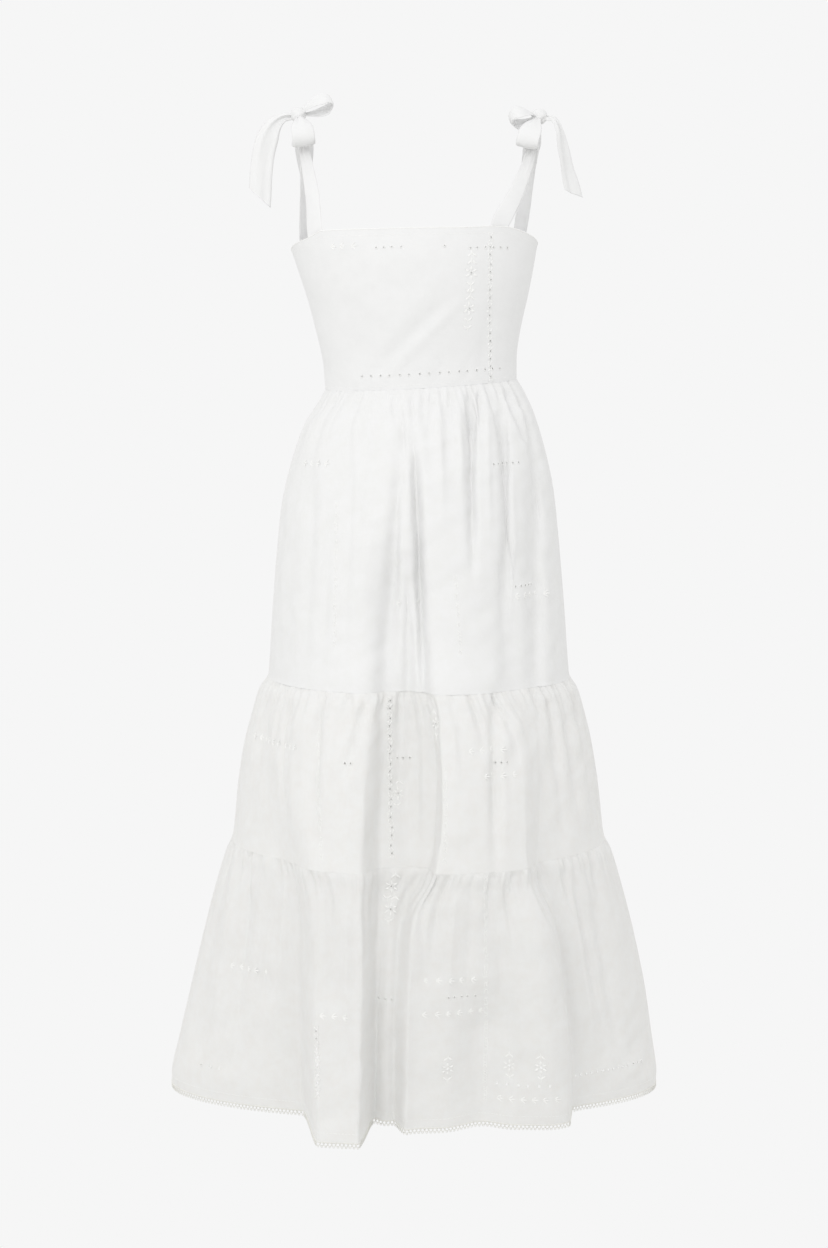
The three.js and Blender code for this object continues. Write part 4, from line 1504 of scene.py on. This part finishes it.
@dataclass(frozen=True)
class Ribbon:
    """A flat tie of cloth along a route, crowned, with lengthwise folds that open away from the knot."""

    thickness: float = 1.3
    crown: float = 1.5
    columns: int = 17
    # The ribbon is fully crowned at this width, and flat at its start.
    crowned_width: float = 30.0
    crown_start: tuple[float, float] = (0.06, 0.25)
    # The edges lift in turn by this much along the ribbon.
    flutter: float = 0.5
    # Lengthwise folds: turns across the ribbon, drift along it and height of a broad and a narrow wave.
    broad_fold: tuple[float, float, float] = (1.7, 1.6, 1.0)
    narrow_fold: tuple[float, float, float] = (3.1, -2.0, 0.35)
    # Least share of the thickness at the edges, and the size of the flat cloth for the weave.
    edge_share: float = 0.02
    weave_half: float = 15.0
    weave_step: float = 2.0

    def build(
        self, name: str, route: np.ndarray, across: np.ndarray, width: np.ndarray, folds: np.ndarray,
        seed: int, slant: float = 0.0,
    ) -> bpy.types.Object:
        """Makes the ribbon as a thin closed shell.

        Args:
            name: the object's name.
            route: places along the middle.
            across: direction of the width at each place.
            width: width at each place.
            folds: depth of the lengthwise folds at each place.
            seed: seed of the folds' unevenness.
            slant: how much longer one edge is than the other at the free end.

        Returns:
            The ribbon.
        """
        along = unit(np.gradient(route, axis=0))
        across = unit(across - (across * along).sum(axis=1, keepdims=True) * along)
        normal = np.cross(across, along)
        s = np.linspace(-1, 1, self.columns)
        draw = np.random.default_rng(seed)
        phases = draw.uniform(0, 2 * math.pi, 3)
        t = np.linspace(0, 1, len(route))[:, None]
        wave = np.zeros((len(route), self.columns))
        for (turns, drift, height), phase in zip((self.broad_fold, self.narrow_fold), phases):
            wave += height * np.sin(turns * math.pi * s + phase + drift * t)
        rise = np.minimum(1, width / self.crowned_width)[:, None] * smoothstep(t, *self.crown_start)
        lift = self.crown * rise * (1 - s**2) + folds[:, None] * wave
        lift = lift + self.flutter * np.sin(5 * math.pi * t + phases[2]) * s
        middle = route[:, None, :] + across[:, None, :] * (s * width[:, None] / 2)[:, :, None]
        middle = middle + normal[:, None, :] * lift[:, :, None]
        middle = middle + along[:, None, :] * (slant / 2 * s * t**4)[:, :, None]
        half = self.thickness / 2 * np.sqrt(np.maximum(1 - s**8, self.edge_share))
        upper = middle + normal[:, None, :] * half[None, :, None]
        lower = middle - normal[:, None, :] * half[None, :, None]
        ring = np.concatenate([upper, lower[:, ::-1], upper[:, :1]], axis=1)
        rows, columns = ring.shape[:2]
        closed = np.arange(columns - 1).tolist() + [0]
        faces = grid_faces(rows, columns)
        renumber = (np.arange(rows)[:, None] * (columns - 1) + np.array(closed)[None, :]).ravel()
        faces = renumber[faces]
        points = ring[:, :-1].reshape(-1, 3)
        last = columns - 2
        caps = []
        for row in (0, rows - 1):
            near = row * (columns - 1) + np.arange(self.columns - 1)
            far = row * (columns - 1) + last - np.arange(self.columns - 1)
            cap = np.stack([near, near + 1, far - 1, far], axis=1)
            caps.append(cap if row else cap[:, ::-1])
        flat = np.stack(
            [
                np.tile(np.concatenate([s, s[::-1]]), rows) * self.weave_half * MM,
                np.repeat(np.arange(rows) * self.weave_step * MM, columns - 1),
            ],
            axis=1,
        )
        return mesh_object(name, points, np.vstack([faces, *caps]), flat)


@dataclass(frozen=True)
class Loop:
    """One loop of a bow: where it points and opens, its size, and how far its width narrows at the tip."""

    name: str
    aim: tuple[float, float, float]
    spread: tuple[float, float, float]
    length: float
    belly: float
    width: float
    narrowed: float


@dataclass(frozen=True)
class Tail:
    """One free end of a tie: its route, the direction of its width at both ends, and its slanted cut."""

    name: str
    across: tuple[tuple[float, float, float], tuple[float, float, float]]
    slant: float
    route: tuple[tuple[float, float, float], ...]


@dataclass
class ShoulderTie:
    """Two straps tied in a bow on one shoulder."""

    side: str
    knot: tuple[float, float, float]
    strap_aside: float
    front_via: tuple[tuple[float, float, float], ...]
    back_via: tuple[tuple[float, float, float], ...]
    front_angles: tuple[float, float]
    back_angles: tuple[float, float]
    loops: tuple[Loop, ...]
    tails: tuple[Tail, ...]
    seed: int
    knot_radius: float = 11.0
    tie_width: float = 30.0
    pinch: float = 10.0
    strap_top: float = 14.0
    strap_offset: float = 2.8
    loop_split: float = 3.0
    # The strap is sewn this far inside the bodice's edge, down to this row of its cloth.
    strap_inside: float = 3.2
    tuck_row: int = 4
    # How far the straps and ends, and the loops, reach into the knot.
    overlap: float = 2.0
    loop_overlap: float = 3.0
    # Points along a strap, a loop and an end.
    strap_steps: int = 70
    loop_steps: int = 90
    tail_steps: int = 80
    loop_columns: int = 15
    tail_thickness: float = 1.0
    # Shares of a strap's length where it narrows and where its folds begin, and their depth.
    strap_narrows: tuple[float, float] = (0.06, 0.85)
    strap_folds_from: float = 0.45
    strap_folds: float = 1.5
    # Where a loop swells to its width and narrows again at its tip, and its folds at the knot and beyond.
    loop_swells: tuple[float, float] = (0.05, 0.8)
    loop_folds: tuple[float, float] = (0.9, 0.25)
    # Where an end reaches its width and its folds open out, and their depth at the knot and beyond.
    tail_widens: float = 0.4
    tail_opens: tuple[float, float] = (0.1, 0.7)
    tail_folds: tuple[float, float] = (1.0, 0.7)
    # The knot: points round it, and its size along x, y and z.
    knot_rows: int = 40
    knot_columns: int = 64
    knot_squash: tuple[float, float, float] = (1.02, 0.92, 1.0)

    def strap(self, wardrobe: Wardrobe, half: Half, grid: ClothGrid) -> None:
        """Makes the strap of one half, from the bodice's edge to the knot.

        Args:
            wardrobe: gives the finishes.
            half: the front or the back.
            grid: that half's bodice.
        """
        front = half.side is Side.FRONT
        angles = np.linspace(-90, 90, grid.shape[1])
        ends = self.front_angles if front else self.back_angles
        edge = [int(np.abs(angles - angle).argmin()) for angle in ends]
        middle = (edge[0] + edge[1]) // 2
        inward = -self.strap_inside * grid.outward[0, middle]
        foot = grid.points[0, middle] + inward
        tuck = grid.points[self.tuck_row, middle] + inward
        below = self.overlap - self.knot_radius
        top = np.array(self.knot) + np.array([self.strap_aside, half.side.sign * self.strap_offset, below])
        via = self.front_via if front else self.back_via
        route = smooth_route([tuck, foot, *via, top], self.strap_steps)
        across_foot = grid.points[0, edge[1]] - grid.points[0, edge[0]]
        t = np.linspace(0, 1, len(route))
        foot_width = float(np.linalg.norm(across_foot))
        width = foot_width + (self.strap_top - foot_width) * smoothstep(t, *self.strap_narrows)
        across = unit(across_foot)[None, :] * (1 - t[:, None]) + np.array([1.0, 0, 0]) * t[:, None]
        folds = self.strap_folds * smoothstep(t, self.strap_folds_from, 1.0)
        if np.cross(across[0], route[1] - route[0])[1] * half.side.sign < 0:
            across = -across
        name = f"strap_{half.side.value}_{self.side}"
        piece = Ribbon().build(f"{name}_cloth", route, across, width, folds, self.seed + 1)
        wardrobe.dress(piece, LINED_COTTON, [name])

    def knot_piece(self, wardrobe: Wardrobe) -> None:
        """Makes the knot: a wound band with its turns showing as slanting grooves."""
        rows, columns = self.knot_rows, self.knot_columns
        polar = np.linspace(0, math.pi, rows)[:, None]
        turn = np.linspace(0, 2 * math.pi, columns, endpoint=False)[None, :]
        slant = turn + 1.1 * np.cos(polar)
        groove = 0.9 * np.abs(np.sin(1.5 * slant)) ** 0.6 + 0.5 * np.sin(5 * slant + 2 * polar)
        radius = self.knot_radius * 0.93 + (groove - 0.4) * np.sin(polar)
        points = np.stack(
            [
                radius * np.cos(polar) + 0 * turn,
                radius * np.sin(polar) * np.cos(turn),
                radius * np.sin(polar) * np.sin(turn),
            ],
            axis=2,
        ) * np.array(self.knot_squash)
        points = np.concatenate([points, points[:, :1]], axis=1)
        faces = grid_faces(rows, columns + 1)
        piece = mesh_object(
            f"bow_knot_{self.side}_cloth", (points + np.array(self.knot)).reshape(-1, 3), faces,
            np.zeros((rows * (columns + 1), 2)),
        )
        wardrobe.dress(piece, LINED_COTTON, [f"bow_knot_{self.side}"])

    def loop(self, wardrobe: Wardrobe, loop: Loop) -> None:
        """Makes one loop of the bow."""
        aim = unit(np.array(loop.aim))
        spread = np.array(loop.spread)
        spread = unit(spread - spread.dot(aim) * aim)
        across = np.cross(aim, spread)
        t = np.linspace(0, 1, self.loop_steps)
        start = self.knot_radius - self.loop_overlap
        out = start + (loop.length - start) * np.sin(math.pi * t) ** 1.1
        aside = self.loop_split * np.cos(math.pi * t) + loop.belly * np.sin(2 * math.pi * t)
        route = np.array(self.knot) + out[:, None] * aim + aside[:, None] * spread
        swell = smoothstep(np.sin(math.pi * t), *self.loop_swells)
        width = self.pinch + (loop.width - self.pinch) * swell
        width = width * (1 - loop.narrowed * smoothstep(np.sin(math.pi * t), self.loop_swells[1], 1.0))
        folds = self.loop_folds[0] * (1 - swell) + self.loop_folds[1]
        name = f"bow_loop_{loop.name}_{self.side}"
        piece = Ribbon(columns=self.loop_columns).build(
            f"{name}_cloth", route, np.tile(across, (len(t), 1)), width, folds, self.seed + 5
        )
        wardrobe.dress(piece, TIE_COTTON, [name])

    def tail(self, wardrobe: Wardrobe, tail: Tail) -> None:
        """Makes one free end of the tie."""
        knot = np.array(self.knot)
        first = np.array(tail.route[0])
        start = knot + unit(first - knot) * (self.knot_radius - self.overlap)
        route = smooth_route([start, *tail.route], self.tail_steps)
        t = np.linspace(0, 1, len(route))
        width = self.pinch + (self.tie_width - self.pinch) * smoothstep(t, 0, self.tail_widens)
        near, far = unit(np.array(tail.across))
        across = near[None, :] * (1 - t[:, None]) + far * t[:, None]
        folds = self.tail_folds[0] * (1 - smoothstep(t, *self.tail_opens)) + self.tail_folds[1]
        name = f"bow_tail_{tail.name}_{self.side}"
        piece = Ribbon(thickness=self.tail_thickness).build(
            f"{name}_cloth", route, across, width, folds, self.seed + len(tail.name), tail.slant
        )
        wardrobe.dress(piece, TIE_COTTON, [name])

    def build(self, wardrobe: Wardrobe, bodice: dict[Side, ClothGrid]) -> None:
        """Makes the straps, the knot, the loops and the tails."""
        for half in (FRONT, BACK):
            self.strap(wardrobe, half, bodice[half.side])
        self.knot_piece(wardrobe)
        for loop in self.loops:
            self.loop(wardrobe, loop)
        for tail in self.tails:
            self.tail(wardrobe, tail)


TIERS = (
    Tier(
        "skirt_tier1", WAIST, SEAM_ONE, WAIST_TILT, WAIST_DROOP, 5, False,
        Gathers(8.5, 4.4, 48, 3.0, (0.8, 0.6, 0.6, 1.0, 1.0, 0.8)),
        Gathers(27, 4.0, 190, 3.4, (1.0, 0.9, 0.8, 1.0, 1.0, 0.9)), 100, LINED_SKIRT_PAINTED_SHADE, "lined_cotton",
    ),
    Tier(
        "skirt_tier2", SEAM_ONE, SEAM_TWO, 0, 5, 6, True,
        Gathers(9.0, 4.2, 40, 3.0), Gathers(26, 3.6, 120, 3.4), 200, SINGLE_COTTON, "single_cotton",
    ),
    Tier(
        "skirt_tier3", SEAM_TWO, HEM, 0, 6, 0, True,
        Gathers(9.5, 3.4, 44, 3.0), Gathers(30, 3.0, 170, 3.4), 300, SHEER_COTTON_PAINTED_SHADE, "single_cotton",
    ),
)

BODICE_WORK = {
    Side.FRONT: Stitchery(
        ladders=(Ladder(97, 98, -124, -312),),
        rows=(
            EyeletRow(-142, -58, -14, 11.0), EyeletRow(-142, 30, 40, 11.0), EyeletRow(-142, 64, 128, 11.0),
            EyeletRow(-306, -76, 112, 13.0),
        ),
        bands=(LeafBand(-142, -118, -70),),
        sprigs=(Sprig(72, -176, 2), Sprig(70, -222, 2)),
    ),
    Side.BACK: Stitchery(
        ladders=(Ladder(-92, -90, -156, -312),),
        rows=(
            EyeletRow(-172, -110, -40, 10.0), EyeletRow(-172, 20, 110, 10.0),
            EyeletRow(-306, -96, 60, 13.0),
        ),
        bands=(LeafBand(-172, -36, 16),),
        sprigs=(Sprig(-62, -210, 2), Sprig(-60, -256, 2)),
    ),
}
TIER_WORK = {
    "skirt_tier1": {
        Side.FRONT: Stitchery(
            ladders=(Ladder(-103, -104, -470, -655, False), Ladder(50, 56, -560, -665, False)),
            rows=(EyeletRow(-420, 98, 136, 9.0), EyeletRow(-578, 126, 152, 9.0)),
            bands=(LeafBand(-420, -150, -112), LeafBand(-598, -30, 8), LeafBand(-592, 120, 170)),
        ),
        Side.BACK: Stitchery(
            ladders=(Ladder(-64, -68, -470, -655, False), Ladder(96, 102, -470, -665, False)),
            rows=(EyeletRow(-420, -136, -90, 9.0), EyeletRow(-578, 20, 60, 9.0)),
            bands=(LeafBand(-420, 60, 120), LeafBand(-592, -140, -80)),
        ),
    },
    "skirt_tier2": {
        Side.FRONT: Stitchery(
            ladders=(
                Ladder(-33, -31, -716, -922), Ladder(38, 36, -800, -922, False),
                Ladder(-124, -120, -760, -922, False),
            ),
            rows=(
                EyeletRow(-798, -94, -72, 9.0), EyeletRow(-796, -26, 0, 8.0),
                EyeletRow(-796, 96, 120, 8.0),
            ),
            bands=(LeafBand(-782, -216, -150), LeafBand(-782, 60, 120), LeafBand(-812, 80, 130)),
            sprigs=(Sprig(26, -748, 1), Sprig(-22, -840, 1)),
        ),
        Side.BACK: Stitchery(
            ladders=(Ladder(-70, -72, -716, -922), Ladder(72, 76, -740, -922, False)),
            rows=(EyeletRow(-798, -40, 0, 9.0), EyeletRow(-798, 110, 150, 9.0)),
            bands=(LeafBand(-782, -200, -130), LeafBand(-782, 20, 110)),
            sprigs=(Sprig(0, -866, 1), Sprig(150, -866, 1)),
        ),
    },
    "skirt_tier3": {
        Side.FRONT: Stitchery(
            ladders=(Ladder(88, 90, -938, -1240, False), Ladder(-126, -124, -1130, -1220)),
            rows=(
                EyeletRow(-1100, -50, -28, 9.0), EyeletRow(-1096, 36, 84, 9.0),
                EyeletRow(-1222, 206, 306, 9.0), EyeletRow(-1216, 96, 180, 14.0),
                EyeletRow(-1222, -290, -250, 16.0),
            ),
            bands=(
                LeafBand(-1074, 4, 84), LeafBand(-1118, 0, 84), LeafBand(-1116, -128, -80),
                LeafBand(-1236, 96, 190), LeafBand(-1080, -250, -190),
            ),
            sprigs=(
                Sprig(-31, -958, 1), Sprig(-31, -985, 1), Sprig(120, -1190, 1), Sprig(160, -1192, 1),
                Sprig(40, -1190, 1),
            ),
        ),
        Side.BACK: Stitchery(
            ladders=(Ladder(-60, -64, -938, -1240, False), Ladder(84, 92, -1100, -1230)),
            rows=(
                EyeletRow(-1098, -160, -90, 9.0), EyeletRow(-1096, 60, 130, 9.0),
                EyeletRow(-1222, -300, -210, 9.0), EyeletRow(-1222, 0, 80, 12.0),
            ),
            bands=(LeafBand(-1074, -160, -80), LeafBand(-1118, -160, -80), LeafBand(-1236, 0, 120)),
            sprigs=(Sprig(0, -960, 1), Sprig(30, -1190, 1), Sprig(-150, -1190, 1), Sprig(170, -1180, 1)),
        ),
    },
}

LEFT_TIE = ShoulderTie(
    side="left",
    knot=(-155, 0, 38),
    strap_aside=5.0,
    front_via=((-135, -44, -72), (-146, -13, -10)),
    back_via=((-146, 38, -82), (-147, 18, -14)),
    front_angles=(-57, -46),
    back_angles=(-73, -60.5),
    loops=(
        Loop("upper", (0.92, -0.12, 0.36), (-0.25, -0.7, 0.65), 48, 8, 24, 0.3),
        Loop("lower", (0.16, -0.7, -0.7), (0, 0.7, -0.7), 58, 10, 30, 0),
    ),
    tails=(
        Tail(
            "front", ((0.3, 0, 1), (-1, 0, 0.1)), -24,
            ((-176, -6, 33), (-188, -8, 22), (-197, -8, 2), (-203, -8, -28), (-206, -8, -72)),
        ),
        Tail(
            "back", ((1, 0.4, 0), (0.2, 1, 0)), 12,
            ((-151, 24, 24), (-148, 42, -6), (-147, 60, -36), (-147, 70, -64)),
        ),
    ),
    seed=500,
)
RIGHT_TIE = ShoulderTie(
    side="right",
    knot=(165, 0, 36),
    strap_aside=-6.0,
    front_via=((134, -44, -66), (154, -14, -10)),
    back_via=((147, 38, -76), (156, 18, -14)),
    front_angles=(37.5, 48),
    back_angles=(55, 66),
    loops=(
        Loop("upper", (-0.92, -0.34, -0.1), (0, -0.7, 0.65), 41, 8, 24, 0.3),
        Loop("lower", (-0.29, -0.68, -0.67), (0, 0.7, -0.7), 62, 9, 30, 0),
    ),
    tails=(
        Tail(
            "front", ((0.2, 0.9, 0.3), (0.75, 0.6, 0.15)), 14,
            ((184, -4, 32), (192, -6, 18), (198, -7, -8), (203, -7, -33), (211, -8, -66)),
        ),
        Tail(
            "back", ((1, 0.4, 0), (0.5, 1, 0)), 12,
            ((160, 24, 18), (156, 42, -10), (152, 58, -36), (149, 68, -60)),
        ),
    ),
    seed=600,
)


@dataclass(frozen=True)
class Studio:
    """A pale floor, an even white surround, one soft light from the left and the camera.

    The floor's drop is in millimetres. The other distances are in metres, the frame and lens as on a camera.
    """

    surround: str = "#f6f6f6"
    fill: float = 1.0
    floor_drop: float = 330.0
    floor_radius: float = 30.0
    floor_sides: int = 96
    floor_albedo: str = "#e8e8e6"
    light_size: float = 1.2
    light_power: float = 20.0
    light_from: tuple[float, float, float] = (-1.1, -2.9, 0.9)
    camera_at: tuple[float, float, float] = (-0.00135, -3.2, -0.391)
    look_down: float = 4.45
    frame_height: float = 36.0
    lens: float = 68.58

    def floor(self) -> None:
        """Lays the floor, well below the hem."""
        bpy.ops.mesh.primitive_circle_add(
            vertices=self.floor_sides, radius=self.floor_radius, fill_type="NGON",
            location=(0, 0, (HEM - self.floor_drop) * MM),
        )
        floor = bpy.context.active_object
        floor.name = "studio_floor"
        # An even pale ground without an edge, which still returns a little light to the hem.
        made = bare_material("matte pale paper")
        tree = made.node_tree
        lit = add_node(tree, "ShaderNodeBsdfDiffuse", {"Color": linear(self.floor_albedo)})
        seen = add_node(tree, "ShaderNodeEmission", {"Color": linear(self.surround)})
        paper = seen_or_lit(tree, lit.outputs["BSDF"], seen.outputs["Emission"])
        add_node(tree, "ShaderNodeOutputMaterial", {}, {"Surface": paper})
        floor.data.materials.append(made)

    def light(self) -> None:
        """Sets the even surround and the soft light."""
        scene = bpy.context.scene
        world = bpy.data.worlds.new("white surround")
        scene.world = world
        world.use_nodes = True
        tree = world.node_tree
        tree.nodes.clear()
        seen = add_node(tree, "ShaderNodeBackground", {"Color": linear(self.surround)})
        shed = add_node(tree, "ShaderNodeBackground", {"Color": (self.fill, self.fill, self.fill, 1.0)})
        mixed = seen_or_lit(tree, shed.outputs["Background"], seen.outputs["Background"])
        add_node(tree, "ShaderNodeOutputWorld", {}, {"Surface": mixed})
        lamp = bpy.data.lights.new("soft box", "AREA")
        lamp.shape = "SQUARE"
        lamp.size = self.light_size
        lamp.energy = self.light_power
        box = bpy.data.objects.new("soft box", lamp)
        box.location = self.light_from
        middle = np.array([0.0, 0.0, (WAIST + HEM) / 2 * MM])
        aim = middle - np.array(self.light_from)
        box.rotation_euler = (
            math.acos(-aim[2] / np.linalg.norm(aim)), 0.0, math.atan2(aim[1], aim[0]) - math.pi / 2,
        )
        scene.collection.objects.link(box)
        scene.view_settings.view_transform = "Standard"
        scene.view_settings.look = "None"

    def camera(self) -> None:
        """Sets the camera in front of the dress, a little above its middle."""
        lens = bpy.data.cameras.new("camera")
        lens.sensor_fit = "VERTICAL"
        lens.sensor_height = self.frame_height
        lens.lens = self.lens
        camera = bpy.data.objects.new("camera", lens)
        camera.location = self.camera_at
        camera.rotation_euler = (math.radians(90 - self.look_down), 0.0, 0.0)
        bpy.context.scene.collection.objects.link(camera)
        bpy.context.scene.camera = camera


def main() -> None:
    """Builds the studio and every piece of the dress."""
    logging.basicConfig(level=logging.INFO, format="%(message)s")
    studio = Studio()
    studio.camera()
    studio.light()
    studio.floor()
    wardrobe = Wardrobe()
    bodice = {half.side: Bodice().build(wardrobe, half, BODICE_WORK[half.side]) for half in (FRONT, BACK)}
    for tier in TIERS:
        for half in (FRONT, BACK):
            grid = tier.build(wardrobe, half, TIER_WORK[tier.name][half.side])
            if tier.bottom == HEM:
                HemLace().build(wardrobe, grid, half.side)
    for tie in (LEFT_TIE, RIGHT_TIE):
        tie.build(wardrobe, bodice)


if __name__ == "__main__":
    main()
    bpy.context.view_layer.update()
